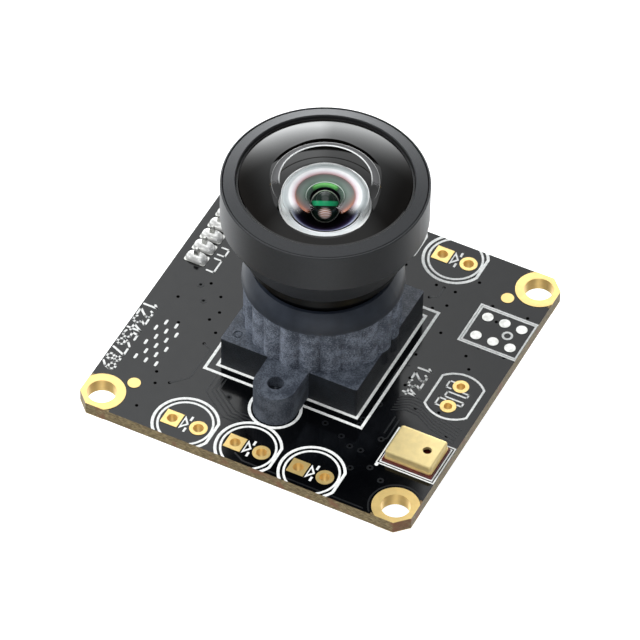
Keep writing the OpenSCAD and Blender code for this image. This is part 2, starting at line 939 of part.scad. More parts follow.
// Hollow can with a foot, a wall set back from it, a rounded top edge and a sound port
module microphone_can() {
    foot_w = mic_w - 2 * mic_foot_inset;
    foot_d = mic_d - 2 * mic_foot_inset;
    wall_w = foot_w - 2 * mic_wall_inset;
    wall_d = foot_d - 2 * mic_wall_inset;
    color("#f0cf8e")
        translate([mic_x, mic_y, board_t + mic_base_h])
            difference() {
                union() {
                    linear_extrude(mic_foot_h)
                        rounded_rect(foot_w, foot_d, mic_corner_r);
                    linear_extrude(mic_can_h - mic_round)
                        rounded_rect(wall_w, wall_d, mic_corner_r);
                    translate([0, 0, mic_can_h - mic_round])
                        can_top(wall_w, wall_d);
                }
                translate([mic_port_x, 0, 0])
                    cylinder(r = mic_port_r, h = mic_can_h + cut);
                translate([mic_shell - wall_w / 2, mic_shell - wall_d / 2, -cut])
                    cube([wall_w - 2 * mic_shell, wall_d - 2 * mic_shell, mic_can_h - mic_shell + cut]);
            }
}

// Top of the can: its edge and corners rounded over
module can_top(w, d) {
    flat_w = w - 2 * mic_corner_r;
    flat_d = d - 2 * mic_corner_r;
    reach = mic_corner_r - mic_round;
    linear_extrude(mic_round) {
        square([flat_w, flat_d + 2 * reach], center = true);
        square([flat_w + 2 * reach, flat_d], center = true);
    }
    for (x = [-1, 1])
        translate([x * (w / 2 - mic_round), 0])
            half_rod(flat_d, 90);
    for (y = [-1, 1])
        translate([0, y * (d / 2 - mic_round)])
            half_rod(flat_w, 0);
    for (x = [-1, 1], y = [-1, 1])
        translate([x * flat_w / 2, y * flat_d / 2])
            rotate_extrude()
                intersection() {
                    square([mic_corner_r, mic_round]);
                    union() {
                        translate([reach, 0])
                            circle(mic_round);
                        square([reach, mic_round]);
                    }
                }
}

// Upper half of a rod that rounds one edge of the can
module half_rod(l, turn) {
    rotate([0, 0, turn])
        rotate([90, 0, 90])
            translate([0, 0, -l / 2])
                linear_extrude(l)
                    intersection() {
                        circle(mic_round);
                        translate([-mic_round, 0])
                            square([2 * mic_round, mic_round]);
                    }
}

// ---------- pin header ----------

module connector_housing() {
    l = (plug_pins - 1) * plug_pitch + 2 * plug_end;
    color("#e9e5d6")
        difference() {
            translate([plug_x - plug_d / 2, plug_y - l / 2, -plug_h])
                cube([plug_d, l, plug_h - pad_t]);
            translate([plug_x - plug_d / 2 + plug_wall, plug_y - l / 2 + plug_wall, -plug_h - cut])
                cube([plug_d - 2 * plug_wall, l - 2 * plug_wall, plug_h - plug_floor + cut]);
            for (side = [-1, 1])
                translate([
                    plug_x + plug_d / 2 - plug_wall - cut,
                    plug_y + side * l / 4 - plug_slot_w / 2,
                    -plug_h - cut
                ])
                    cube([plug_wall + 2 * cut, plug_slot_w, plug_slot_h + cut]);
            at_pins()
                translate([0, 0, -plug_floor / 2])
                    cube([pin_w + 2 * pin_gap, pin_w + 2 * pin_gap, plug_floor + 2 * cut], center = true);
        }
}

// Square pins with bevelled ends, shorter below than the housing round them
module connector_pins() {
    tip_z = plug_floor - plug_h;
    color("#cfcfcb")
        at_pins()
            translate([0, 0, tip_z])
                bevelled_block(pin_w, pin_w, board_t + pin_over - tip_z, pin_bevel, pin_tip);
}

// A rounded heap of solder along each pad, open for its pin
module connector_solder() {
    color("#f1f1ee")
        at_pins()
            translate([0, 0, board_t + pad_t])
                difference() {
                    intersection() {
                        hull()
                            for (side = [-1, 1])
                                translate([side * (solder_l - solder_w) / 2, 0, 0])
                                    sphere(r = solder_w / 2, $fn = 24);
                        translate([-solder_l / 2, -solder_w / 2, 0])
                            cube([solder_l, solder_w, solder_h]);
                    }
                    translate([-pin_w / 2, -pin_w / 2, -cut])
                        cube([pin_w, pin_w, solder_h + 2 * cut]);
                }
}

// ---------- parts under the board ----------

// Turns a part built upwards so that it hangs from the board's underside
module underside(at) {
    translate([at[0], at[1], 0])
        rotate([180, 0, at[2]])
            children();
}

// A chip's body, bevelled all round at its top and bottom
module chip_body(w, d, h) {
    translate([0, 0, chip_lift])
        bevelled_block(w, d, h - chip_lift, chip_bevel, chip_bevel);
}

// A bent lead that leaves the body at half its height and stands on the board
module gull_lead(w, h) {
    rise = (h + chip_lift) / 2;
    bend = lead_reach - lead_foot;
    translate([0, w / 2, 0])
        rotate([90, 0, 0])
            linear_extrude(w)
                polygon([
                    [0, rise], [bend, rise], [bend + lead_t, rise - lead_t], [bend + lead_t, lead_t],
                    [lead_reach, lead_t], [lead_reach, 0], [bend, 0], [bend, rise - lead_t],
                    [0, rise - lead_t]
                ]);
}

module lead_row(n, pitch, w, h, out) {
    for (step = [0:n - 1])
        translate([out, (step - (n - 1) / 2) * pitch, 0])
            gull_lead(w, h);
}

module controller_body() {
    color("#1c1c1e")
        underside(controller_at)
            chip_body(controller_w, controller_w, controller_h);
}

module controller_leads() {
    color("#c9c9c6")
        underside(controller_at)
            for (turn = [0:90:270])
                rotate(turn)
                    lead_row(
                        controller_leads_n, controller_pitch, lead_w_controller,
                        controller_h, controller_w / 2
                    );
}

module memory_body() {
    color("#1c1c1e")
        underside(memory_at)
            chip_body(memory_d, memory_w, memory_h);
}

module memory_leads() {
    color("#c9c9c6")
        underside(memory_at)
            for (turn = [0, 180])
                rotate(turn)
                    lead_row(
                        memory_leads_n, memory_pitch, lead_w_memory, memory_h, memory_d / 2
                    );
}

module regulator_bodies() {
    color("#1c1c1e")
        for (at = regulators_at)
            underside(at)
                chip_body(regulator_d, regulator_w, regulator_h);
}

module regulator_leads() {
    color("#c9c9c6")
        for (at = regulators_at)
            underside(at) {
                lead_row(2, 2 * regulator_lead_pitch, lead_w_regulator, regulator_h, regulator_d / 2);
                rotate(180)
                    lead_row(1, 1, lead_w_regulator, regulator_h, regulator_d / 2);
            }
}

module crystal() {
    color("#c8c8c4")
        underside(crystal_at) {
            translate([0, 0, (crystal_h - crystal_lid_h) / 2])
                cube([crystal_w, crystal_d, crystal_h - crystal_lid_h], center = true);
            translate([0, 0, crystal_h / 2])
                cube([
                    crystal_w - 2 * crystal_lid_inset, crystal_d - 2 * crystal_lid_inset, crystal_h
                ], center = true);
        }
}

module power_inductor() {
    color("#4a4a4c")
        underside(inductor_at)
            intersection() {
                translate([0, 0, inductor_h / 2])
                    cube([inductor_w, inductor_w, inductor_h], center = true);
                rotate(45)
                    translate([0, 0, inductor_h / 2])
                        cube([
                            inductor_w * sqrt(2) - inductor_bevel,
                            inductor_w * sqrt(2) - inductor_bevel,
                            inductor_h
                        ], center = true);
            }
}

// The middle or the two metal ends of a block-shaped part
module block_middle(l, w, h) {
    translate([0, 0, h / 2])
        cube([l * (1 - 2 * end_share), w, h], center = true);
}

module block_ends(l, w, h) {
    for (side = [-1, 1])
        translate([side * l * (1 - end_share) / 2, 0, h / 2])
            cube([l * end_share, w, h], center = true);
}

module capacitor_bodies() {
    color("#b49a78")
        for (at = capacitors_at)
            underside(at)
                block_middle(capacitor_l, capacitor_w, capacitor_w);
}

module capacitor_ends() {
    color("#cfcfcb")
        for (at = capacitors_at)
            underside(at)
                block_ends(capacitor_l, capacitor_w, capacitor_w);
}

module resistor_bodies() {
    color("#1c1c1e")
        for (at = resistors_at)
            underside(at)
                block_middle(resistor_l, resistor_w, resistor_h);
}

module resistor_ends() {
    color("#cfcfcb")
        for (at = resistors_at)
            underside(at)
                block_ends(resistor_l, resistor_w, resistor_h);
}

// ---------- lens ----------
// Heights in the lens are counted from the underside of its neck ring.

module in_lens(z) {
    translate([0, 0, neck_z + z])
        children();
}

module lens_barrel() {
    color("#3c3d3f")
        in_lens(0)
            difference() {
                rotate_extrude()
                    polygon([
                        [0, -shank_l], [thread_r - edge_bevel, -shank_l],
                        [thread_r, edge_bevel - shank_l], [thread_r, 0], [neck_r, 0],
                        [neck_r, neck_h], [cone_r, neck_h], [head_r, head_z],
                        [head_r, rim_z - edge_bevel], [head_r - edge_bevel, rim_z], [0, rim_z]
                    ]);
                translate([0, 0, seat_z])
                    cylinder(r = head_bore_r, h = seat_depth + cut);
                translate([0, 0, second_z])
                    cylinder(r = second_bore_r, h = second_bore_h + cut);
                translate([0, 0, third_z - cut])
                    cylinder(r = lip_r, h = lip_t + 2 * cut);
                translate([0, 0, -shank_l - cut])
                    cylinder(r = rear_bore_r, h = shank_l + third_z + cut);
            }
}

module front_ring() {
    color("#434446")
        in_lens(0)
            rotate_extrude()
                polygon([
                    [front_open_r, ring_under_z], [front_open_r, rim_z + ring_rise - edge_bevel],
                    [front_open_r + edge_bevel, rim_z + ring_rise], [ring_r - edge_bevel, rim_z],
                    [ring_r, rim_z - edge_bevel], [ring_r, seat_z + skirt_lift],
                    [skirt_r, seat_z + skirt_lift], [skirt_r, ring_under_z]
                ]);
}

module front_seal() {
    color("#0c0c0d")
        in_lens(ring_under_z + seal_gap)
            tube(front_open_r - seal_gap, dome_edge_r + seal_gap, ring_face_t - 2 * seal_gap);
}

module front_glass() {
    color("#9fb2b8", 0.4)
        in_lens(0)
            difference() {
                union() {
                    intersection() {
                        translate([0, 0, seat_z])
                            cylinder(r = dome_edge_r, h = dome_r);
                        translate([0, 0, dome_centre_z])
                            sphere(r = dome_r, $fn = 192);
                    }
                    translate([0, 0, seat_z])
                        cylinder(r = flange_r, h = ring_under_z - seat_z);
                }
                translate([0, 0, hollow_centre_z])
                    sphere(r = hollow_r, $fn = 144);
            }
}

module second_lens() {
    edge_z = second_z + second_edge_h;
    front_centre_z = edge_z - sqrt(pow(second_front_r, 2) - pow(second_r, 2));
    back_centre_z = second_z - sqrt(pow(second_hollow_r, 2) - pow(second_mouth_r, 2));
    color("#a8b4c4", 0.4)
        in_lens(0)
            difference() {
                intersection() {
                    translate([0, 0, second_z])
                        cylinder(r = second_r, h = second_front_r);
                    translate([0, 0, front_centre_z])
                        sphere(r = second_front_r, $fn = 192);
                }
                translate([0, 0, back_centre_z])
                    sphere(r = second_hollow_r, $fn = 144);
            }
}

module third_lens() {
    face_r = lip_r - glass_gap;
    centre_z = third_z - sqrt(pow(third_front_r, 2) - pow(face_r, 2));
    color("#8fb89a", 0.4)
        in_lens(0) {
            translate([0, 0, spacer_z])
                cylinder(r = lens_r, h = third_t);
            intersection() {
                translate([0, 0, spacer_z])
                    cylinder(r = face_r, h = third_front_r);
                translate([0, 0, centre_z])
                    sphere(r = third_front_r, $fn = 144);
            }
        }
}

module spacer_ring() {
    color("#18181a")
        in_lens(stop_z)
            tube(lens_r, spacer_in_r, spacer_h);
}

module aperture_stop() {
    color("#0e0e10")
        in_lens(rear_z)
            tube(lens_r, stop_r, stop_t);
}

module rear_lens() {
    centre_z = rear_spacer_z + sqrt(pow(rear_back_r, 2) - pow(spacer_in_r, 2));
    color("#8fb89a", 0.4)
        in_lens(0) {
            translate([0, 0, rear_spacer_z])
                cylinder(r = lens_r, h = rear_t);
            intersection() {
                translate([0, 0, rear_spacer_z - rear_spacer_h])
                    cylinder(r = spacer_in_r, h = rear_spacer_h + rear_t / 2);
                translate([0, 0, centre_z])
                    sphere(r = rear_back_r, $fn = 144);
            }
        }
}

module rear_spacer() {
    color("#18181a")
        in_lens(field_z)
            tube(lens_r, spacer_in_r, rear_spacer_h);
}

module field_lens() {
    color("#8fb89a", 0.4)
        in_lens(retainer_z)
            cylinder(r = lens_r, h = field_t);
}

module rear_retainer() {
    color("#18181a")
        in_lens(retainer_z - retainer_h)
            difference() {
                tube(lens_r, spacer_in_r, retainer_h);
                cube([2 * (lens_r + cut), notch_w, retainer_h], center = true);
            }
}

circuit_board();
corner_hole_plating();
lamp_pads();
light_sensor_pads();
header_pads();
fiducials();
connector_pads();
legend();
lens_holder();
holder_screws();
image_sensor();
sensor_glass();
infrared_filter();
microphone_can();
microphone_base();
controller_body();
controller_leads();
memory_body();
memory_leads();
regulator_bodies();
regulator_leads();
crystal();
power_inductor();
capacitor_bodies();
capacitor_ends();
resistor_bodies();
resistor_ends();
connector_housing();
connector_pins();
connector_solder();
lens_barrel();
front_ring();
front_seal();
front_glass();
second_lens();
third_lens();
spacer_ring();
aperture_stop();
rear_lens();
rear_spacer();
field_lens();
rear_retainer();
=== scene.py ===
"""Looks for the board camera module: finishes, lens depth, print, traces and solder.

Lengths are in millimetres along the frame's own axes, and become metres where MM multiplies them.
"""

import math

import bmesh
import bpy
from mathutils import Matrix, Vector


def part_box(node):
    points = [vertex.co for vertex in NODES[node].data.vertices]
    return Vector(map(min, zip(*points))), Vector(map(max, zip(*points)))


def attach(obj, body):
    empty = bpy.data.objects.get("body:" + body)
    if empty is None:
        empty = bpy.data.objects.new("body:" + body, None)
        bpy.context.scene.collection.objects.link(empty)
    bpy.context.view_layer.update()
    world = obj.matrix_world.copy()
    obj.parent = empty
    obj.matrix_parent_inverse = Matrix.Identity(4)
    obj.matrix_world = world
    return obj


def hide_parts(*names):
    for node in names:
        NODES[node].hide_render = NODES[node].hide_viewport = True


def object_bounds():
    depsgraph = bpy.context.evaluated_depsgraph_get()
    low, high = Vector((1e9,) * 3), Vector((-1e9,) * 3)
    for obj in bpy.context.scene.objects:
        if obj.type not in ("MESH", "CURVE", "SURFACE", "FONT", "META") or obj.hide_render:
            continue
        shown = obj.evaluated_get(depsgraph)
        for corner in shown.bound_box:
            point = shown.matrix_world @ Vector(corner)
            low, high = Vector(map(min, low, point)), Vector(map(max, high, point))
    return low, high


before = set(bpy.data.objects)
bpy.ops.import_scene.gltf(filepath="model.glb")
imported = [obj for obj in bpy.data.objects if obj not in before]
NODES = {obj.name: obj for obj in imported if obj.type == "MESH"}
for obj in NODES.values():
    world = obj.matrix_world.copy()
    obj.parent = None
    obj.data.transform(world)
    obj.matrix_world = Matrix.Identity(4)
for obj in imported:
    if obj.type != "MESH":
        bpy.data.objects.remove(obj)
CAD_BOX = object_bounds()
MM = 0.001

# The board's half side and its top face
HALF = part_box("circuit_board")[1].x / MM
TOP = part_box("circuit_board")[1].z / MM

# The photo's line of sight in degrees: round from -Y towards +X, up from level, and its roll
AZIMUTH, ELEVATION, ROLL = 25.84, 47.46, 1.25
# That line seen from above, from the lens's axis towards the viewer, and the picture's upright
AHEAD = (0.436, -0.9)
PICTURE_UP = (-0.321, 0.663, 0.676)


# ---------- nodes and finishes ----------

# The mix node's sockets for colours
MIX_SHARE, MIX_FIRST, MIX_SECOND, MIX_RESULT = 0, 6, 7, 2
# Most of a noise's values lie between these two
NOISE_LOW, NOISE_HIGH = 0.3, 0.7


def rgb(r, g, b):
    """A display colour, 0 to 255, as the linear values that a shader takes."""
    def one(v):
        v /= 255
        return v / 12.92 if v <= 0.04045 else ((v + 0.055) / 1.055) ** 2.4
    return one(r), one(g), one(b)


def dimmed(colour, by):
    return tuple(c * by for c in colour)


class Graph:
    """Short calls that add nodes to a tree and link them."""

    def __init__(self, tree):
        self.tree = tree

    def node(self, kind, **settings):
        made = self.tree.nodes.new(kind)
        for key, value in settings.items():
            setattr(made, key, value)
        return made

    def feed(self, socket, value):
        """Link a socket to another one, or set its value; None leaves it alone."""
        if isinstance(value, bpy.types.NodeSocket):
            self.tree.links.new(value, socket)
        elif value is not None:
            if socket.type == "RGBA" and len(value) == 3:
                value = (*value, 1)
            socket.default_value = value

    def math(self, kind, a, b=0.0, clamp=False):
        made = self.node("ShaderNodeMath", operation=kind, use_clamp=clamp)
        self.feed(made.inputs[0], a)
        self.feed(made.inputs[1], b)
        return made.outputs[0]

    def times(self, first, *others):
        """The product of several values."""
        for other in others:
            first = self.math("MULTIPLY", first, other)
        return first

    def largest(self, first, *others):
        for other in others:
            first = self.math("MAXIMUM", first, other)
        return first

    def vector(self, kind, a, b):
        made = self.node("ShaderNodeVectorMath", operation=kind)
        self.feed(made.inputs[0], a)
        self.feed(made.inputs[1], b)
        return made.outputs

    def span(self, value, low, high, to_low=0.0, to_high=1.0, kind="SMOOTHSTEP"):
        """A value between low and high as one between to_low and to_high."""
        made = self.node("ShaderNodeMapRange", interpolation_type=kind)
        for name, v in (("Value", value), ("From Min", low), ("From Max", high),
                        ("To Min", to_low), ("To Max", to_high)):
            self.feed(made.inputs[name], v)
        return made.outputs["Result"]

    def mix(self, share, first, second, kind="MIX"):
        made = self.node("ShaderNodeMix", data_type="RGBA", blend_type=kind)
        self.feed(made.inputs[MIX_SHARE], share)
        self.feed(made.inputs[MIX_FIRST], first)
        self.feed(made.inputs[MIX_SECOND], second)
        return made.outputs[MIX_RESULT]

    def either(self, share, first, second):
        """The first shader where the share is 0, and the second where it is 1."""
        made = self.node("ShaderNodeMixShader")
        for socket, value in zip(made.inputs, (share, first, second)):
            self.feed(socket, value)
        return made.outputs[0]

    def axis(self, vector, name):
        parts = self.node("ShaderNodeSeparateXYZ")
        self.feed(parts.inputs[0], vector)
        return parts.outputs[name]

    def rays(self, name):
        return self.node("ShaderNodeLightPath").outputs[name]


class Finish(Graph):
    """A material with one principled shader, and short calls for what feeds it."""

    def __init__(self, name, rough=0.5, metal=0.0, **sockets):
        self.material = bpy.data.materials.new(name)
        self.material.use_nodes = True
        super().__init__(self.material.node_tree)
        self.shader = self.tree.nodes["Principled BSDF"]
        self.put("Roughness", rough)
        self.put("Metallic", metal)
        for key, value in sockets.items():
            self.put(key.replace("_", " "), value)
        self.place = self.node("ShaderNodeTexCoord").outputs["Object"]
        self.normal = None

    def put(self, name, value):
        self.feed(self.shader.inputs[name], value)

    def noise(self, size, detail, rough=0.5, stretch=(1, 1, 1)):
        """Noise whose features are about `size` millimetres across."""
        place = self.node("ShaderNodeMapping")
        self.feed(place.inputs["Vector"], self.place)
        place.inputs["Scale"].default_value = [s / (size * MM) for s in stretch]
        made = self.node("ShaderNodeTexNoise")
        self.feed(made.inputs["Vector"], place.outputs["Vector"])
        self.feed(made.inputs["Scale"], 1)
        self.feed(made.inputs["Detail"], detail)
        self.feed(made.inputs["Roughness"], rough)
        return made.outputs["Fac"]

    def wander(self, size, detail, low=0.0, high=1.0):
        """Noise spread over the range from low to high."""
        return self.span(self.noise(size, detail), NOISE_LOW, NOISE_HIGH, low, high)

    def mottle(self, dark, light, size):
        """Base colour that wanders between two tones."""
        self.put("Base Color", self.mix(self.wander(size, 3), dark, light))

    def bump(self, height, depth):
        """Bump whose full height is `depth` millimetres, on top of the bumps before it."""
        made = self.node("ShaderNodeBump")
        self.feed(made.inputs["Distance"], depth * MM)
        self.feed(made.inputs["Height"], height)
        self.feed(made.inputs["Normal"], self.normal)
        self.normal = made.outputs["Normal"]
        self.put("Normal", self.normal)

    def upright(self):
        """1 on upright faces, 0 on level ones."""
        facing = self.node("ShaderNodeNewGeometry").outputs["True Normal"]
        return self.math("LESS_THAN", self.math("ABSOLUTE", self.axis(facing, "Z")), 0.5)

    def aside(self, name):
        """Distance from the middle of the board along one axis."""
        return self.math("ABSOLUTE", self.axis(self.place, name))

    def outline(self, low, high):
        """0 where the sight meets a face squarely, 1 at the form's outline."""
        weight = self.node("ShaderNodeLayerWeight")
        weight.inputs["Blend"].default_value = 0.5
        return self.span(weight.outputs["Facing"], low, high)


def board_finish():
    """Glossy black resist over copper, with bare laminate on the sides and at the corners."""
    bare_edge, bare_corner = 0.22, 3.4
    f = Finish("board", IOR=1.46)
    x, y = f.aside("X"), f.aside("Y")
    edge = f.math("GREATER_THAN", f.math("MAXIMUM", x, y), (HALF - bare_edge) * MM)
    corner = f.math("GREATER_THAN", f.math("MINIMUM", x, y), (HALF - bare_corner) * MM)
    bare = f.math("MAXIMUM", f.upright(), f.times(edge, corner))
    resist = f.mix(f.noise(2.5, 3), (0.0006, 0.0008, 0.0012), (0.0016, 0.0018, 0.0024))
    weave = f.span(f.noise(0.35, 4, 0.6, stretch=(1, 1, 5)), 0.35, 0.7)
    laminate = f.mix(weave, rgb(84, 70, 46), rgb(150, 134, 96))
    stained = f.mix(f.span(f.noise(1.6, 3), 0.52, 0.66), laminate, rgb(120, 84, 60))
    f.put("Base Color", f.mix(bare, resist, stained))
    f.put("Roughness", f.math("ADD", f.wander(1.2, 2, 0.1, 0.15), f.times(bare, 0.45)))
    f.bump(f.noise(0.9, 2), 0.0012)
    f.bump(f.times(bare, f.noise(0.12, 3)), 0.02)
    return f.material


def moulded_finish():
    """Black plastic: spark-eroded skin, painted shade on the base's walls near the board, painted
    light on the scallops above, and a smooth shoulder, darker partly as painted shade under the
    lens head.
    """
    base_high = 3.3
    # Within this distance of the middle, the base's walls keep the skin's tone instead of the
    # painted shade
    skin_middle = 2.0
    # Depths under the top where the smooth shoulder starts and where it is full
    shoulder_start, shoulder_full = 2.35, 1.75
    low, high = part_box("lens_holder")
    f = Finish("holder", IOR=1.48)
    z, upright = f.axis(f.place, "Z"), f.upright()
    in_base = f.math("LESS_THAN", z, low.z + base_high * MM)
    # Painted shade: the base's upright walls, low near the board, get a darker tone
    wall = f.times(upright, in_base, f.math("GREATER_THAN", f.aside("X"), skin_middle * MM))
    # Painted light: the upright scallops above the base get a lighter tone
    scallops_painted_light = f.times(upright, f.math("SUBTRACT", 1.0, in_base))
    smooth = f.span(z, high.z - shoulder_start * MM, high.z - shoulder_full * MM)
    grain, blotch = f.noise(0.13, 4, 0.7), f.noise(1.1, 3)
    share = f.span(f.math("ADD", f.times(grain, 0.65), f.times(blotch, 0.35)), 0.42, 0.6)
    tone = f.mix(share, rgb(44, 49, 58), rgb(84, 90, 100))
    tone = f.mix(scallops_painted_light, tone, f.mix(share, rgb(56, 62, 72), rgb(118, 125, 138)))
    tone = f.mix(wall, tone, f.mix(share, rgb(10, 14, 20), rgb(24, 29, 36)))
    # The smooth shoulder: less rough, and darker partly as painted shade under the lens head
    tone = f.mix(smooth, tone, f.mix(blotch, rgb(20, 24, 32), rgb(40, 46, 56)))
    f.put("Base Color", tone)
    f.put("Roughness", f.span(smooth, 0, 1, 0.6, 0.46))
    f.bump(f.times(grain, f.span(smooth, 0, 1, 1.0, 0.06)), 0.06)
    return f.material


def lens_metal_finish():
    """Satin black metal of the head, painted nearly black from the neck ring down as painted shade
    under the head.
    """
    # Heights of the shank and of the neck ring on it
    shank, neck, just_over = 6.6, 1.15, 0.02
    f = Finish("lens_metal", metal=0.6, IOR=1.5, Anisotropic=0.6)
    turned = f.node("ShaderNodeTangent", direction_type="RADIAL", axis="Z")
    f.put("Tangent", turned.outputs[0])
    neck_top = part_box("lens_barrel")[0].z + (shank + neck + just_over) * MM
    low = f.math("LESS_THAN", f.axis(f.place, "Z"), neck_top)
    tone = f.mix(f.noise(0.07, 3, 0.7), rgb(46, 47, 49), rgb(74, 75, 77))
    # Painted shade: below the neck ring's top the metal's tone is nearly black
    f.put("Base Color", f.mix(low, tone, (0.0015, 0.0018, 0.0025)))
    f.put("Roughness", f.span(low, 0, 1, 0.44, 0.3))
    f.bump(f.noise(0.06, 3), 0.004)
    return f.material


def gold_finish(name, tone, rough_low, rough_high, grain, depth):
    """Gold plate whose tone and roughness wander."""
    f = Finish(name, metal=0.72)
    f.mottle(dimmed(tone, 0.9), tone, 0.8)
    f.put("Roughness", f.wander(0.5, 2, rough_low, rough_high))
    f.bump(f.noise(grain, 3), depth)
    return f.material


def glass_finish(name, tint):
    """Clear glass with a faint tint."""
    f = Finish(name, rough=0.0, IOR=1.6, Transmission_Weight=1.0)
    f.mottle(dimmed(tint, 0.97), tint, 3.0)
    return f.material


def plain_finish(name, dark, light, size, rough, grain, depth, metal):
    """An opaque finish with a mottled tone, from two display colours, and a fine grain."""
    f = Finish(name, rough=rough, metal=metal)
    f.mottle(rgb(*dark), rgb(*light), size)
    f.bump(f.noise(grain, 3), depth)
    return f.material


# Darker and lighter tone, size of the mottle, roughness, size and depth of the grain, metal share
PLAIN = {
    "tin": ((190, 190, 186), (226, 226, 222), 0.5, 0.3, 0.2, 0.004, 0.9),
    "solder": ((222, 222, 220), (250, 250, 248), 0.8, 0.3, 0.7, 0.004, 0.6),
    "print": ((222, 224, 222), (248, 249, 248), 0.3, 0.6, 0.08, 0.004, 0.0),
    "screw": ((120, 122, 126), (160, 162, 166), 0.4, 0.35, 0.2, 0.004, 1.0),
    "sensor": ((40, 44, 54), (58, 62, 74), 0.6, 0.3, 0.2, 0.002, 0.0),
    "mic_base": ((58, 16, 12), (104, 32, 22), 0.4, 0.4, 0.1, 0.006, 0.0),
    "chip": ((24, 24, 26), (40, 40, 42), 0.8, 0.55, 0.06, 0.006, 0.0),
    "lead": ((176, 176, 172), (214, 214, 210), 0.4, 0.3, 0.15, 0.003, 0.95),
    "crystal_can": ((170, 170, 166), (206, 206, 202), 0.7, 0.28, 0.2, 0.003, 1.0),
    "ferrite": ((56, 56, 58), (86, 86, 88), 0.3, 0.6, 0.1, 0.01, 0.0),
    "capacitor": ((150, 124, 92), (188, 162, 126), 0.4, 0.45, 0.1, 0.004, 0.0),
    "resistor": ((20, 20, 22), (38, 38, 42), 0.3, 0.35, 0.1, 0.003, 0.0),
    "plug": ((222, 217, 200), (238, 234, 220), 1.0, 0.45, 0.12, 0.005, 0.0),
    "lens_black": ((14, 14, 15), (26, 26, 28), 0.5, 0.5, 0.1, 0.004, 0.0),
    "seal": ((8, 8, 9), (16, 16, 17), 0.4, 0.6, 0.08, 0.004, 0.0),
}
FINISHES = {name: plain_finish(name, *row) for name, row in PLAIN.items()}
FINISHES.update({
    "board": board_finish(),
    "holder": moulded_finish(),
    "lens_metal": lens_metal_finish(),
    "gold": gold_finish("gold", rgb(255, 222, 146), 0.4, 0.48, 0.25, 0.003),
    "mic_can": gold_finish("mic_can", rgb(255, 232, 168), 0.42, 0.48, 0.15, 0.0008),
    "clear_glass": glass_finish("clear_glass", (0.92, 0.95, 0.97)),
    "filter_glass": glass_finish("filter_glass", (0.8, 0.62, 0.74)),
    "glass_front": glass_finish("glass_front", (0.97, 0.98, 0.99)),
    "glass_inner": glass_finish("glass_inner", (0.94, 0.97, 0.97)),
})


def dress_nodes():
    """Give each CAD node the finish that its material names."""
    for node in NODES.values():
        for place in node.material_slots:
            place.material = FINISHES[place.material.name.split(".")[0]]


def wear_edges(name, width=0.05, sharp=50):
    """A fine bevel on the edges of a node that turn by more than `sharp` degrees."""
    edges = NODES[name].modifiers.new("worn_edges", "BEVEL")
    edges.width = width * MM
    edges.segments = 1
    edges.limit_method = "ANGLE"
    edges.angle_limit = math.radians(sharp)
    edges.use_clamp_overlap = True


# ---------- pieces ----------

def place_object(name, data):
    made = bpy.data.objects.new(name, data)
    bpy.context.scene.collection.objects.link(made)
    return made


def add_piece(name, shape, slot, body, smooth=True, replaces=(), finish=None):
    """A mesh piece that rides on a body, in the slot's own finish if no other is given."""
    verts, faces = shape
    mesh = bpy.data.meshes.new(name)
    mesh.from_pydata([Vector(v) * MM for v in verts], [], faces)
    mesh.validate()
    work = bmesh.new()
    work.from_mesh(mesh)
    bmesh.ops.recalc_face_normals(work, faces=work.faces)
    work.to_mesh(mesh)
    work.free()
    for face in mesh.polygons:
        face.use_smooth = smooth
    made = place_object(name, mesh)
    made.data.materials.append(finish or FINISHES[slot])
    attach(made, body)
    if replaces:
        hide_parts(*replaces)
    return made


# ---------- shapes: each is a list of vertices and a list of faces ----------

def joined(parts):
    """Several shapes as one."""
    verts, faces = [], []
    for part_verts, part_faces in parts:
        start = len(verts)
        verts += part_verts
        faces += [tuple(i + start for i in face) for face in part_faces]
    return verts, faces


def directions(steps):
    """Cosine and sine of even steps round a full turn."""
    angles = [2 * math.pi * i / steps for i in range(steps)]
    return [(math.cos(a), math.sin(a)) for a in angles]


def arc(cx, cy, r, start, end, steps):
    """Points along a circle, from one angle in degrees to another."""
    angles = [math.radians(start + (end - start) * i / steps) for i in range(steps + 1)]
    return [(cx + r * math.cos(a), cy + r * math.sin(a)) for a in angles]


def prism(outline, z, height):
    """An outline of (x, y) points raised from z by height."""
    n = len(outline)
    verts = [(x, y, z) for x, y in outline] + [(x, y, z + height) for x, y in outline]
    faces = [tuple(range(n - 1, -1, -1)), tuple(range(n, 2 * n))]
    faces += [(i, (i + 1) % n, n + (i + 1) % n, n + i) for i in range(n)]
    return verts, faces


def disc(x, y, r, z, height, steps=16):
    return prism(arc(x, y, r, 0, 360, steps)[:-1], z, height)


def ring_prism(x, y, inner, outer, z, height, steps=28):
    """A flat ring with an oblong section."""
    verts, faces = [], []
    for c, s in directions(steps):
        verts += [(x + inner * c, y + inner * s, z), (x + outer * c, y + outer * s, z),
                  (x + outer * c, y + outer * s, z + height),
                  (x + inner * c, y + inner * s, z + height)]
    for i in range(steps):
        j = (i + 1) % steps
        for k in range(4):
            m = (k + 1) % 4
            faces.append((4 * i + k, 4 * j + k, 4 * j + m, 4 * i + m))
    return verts, faces


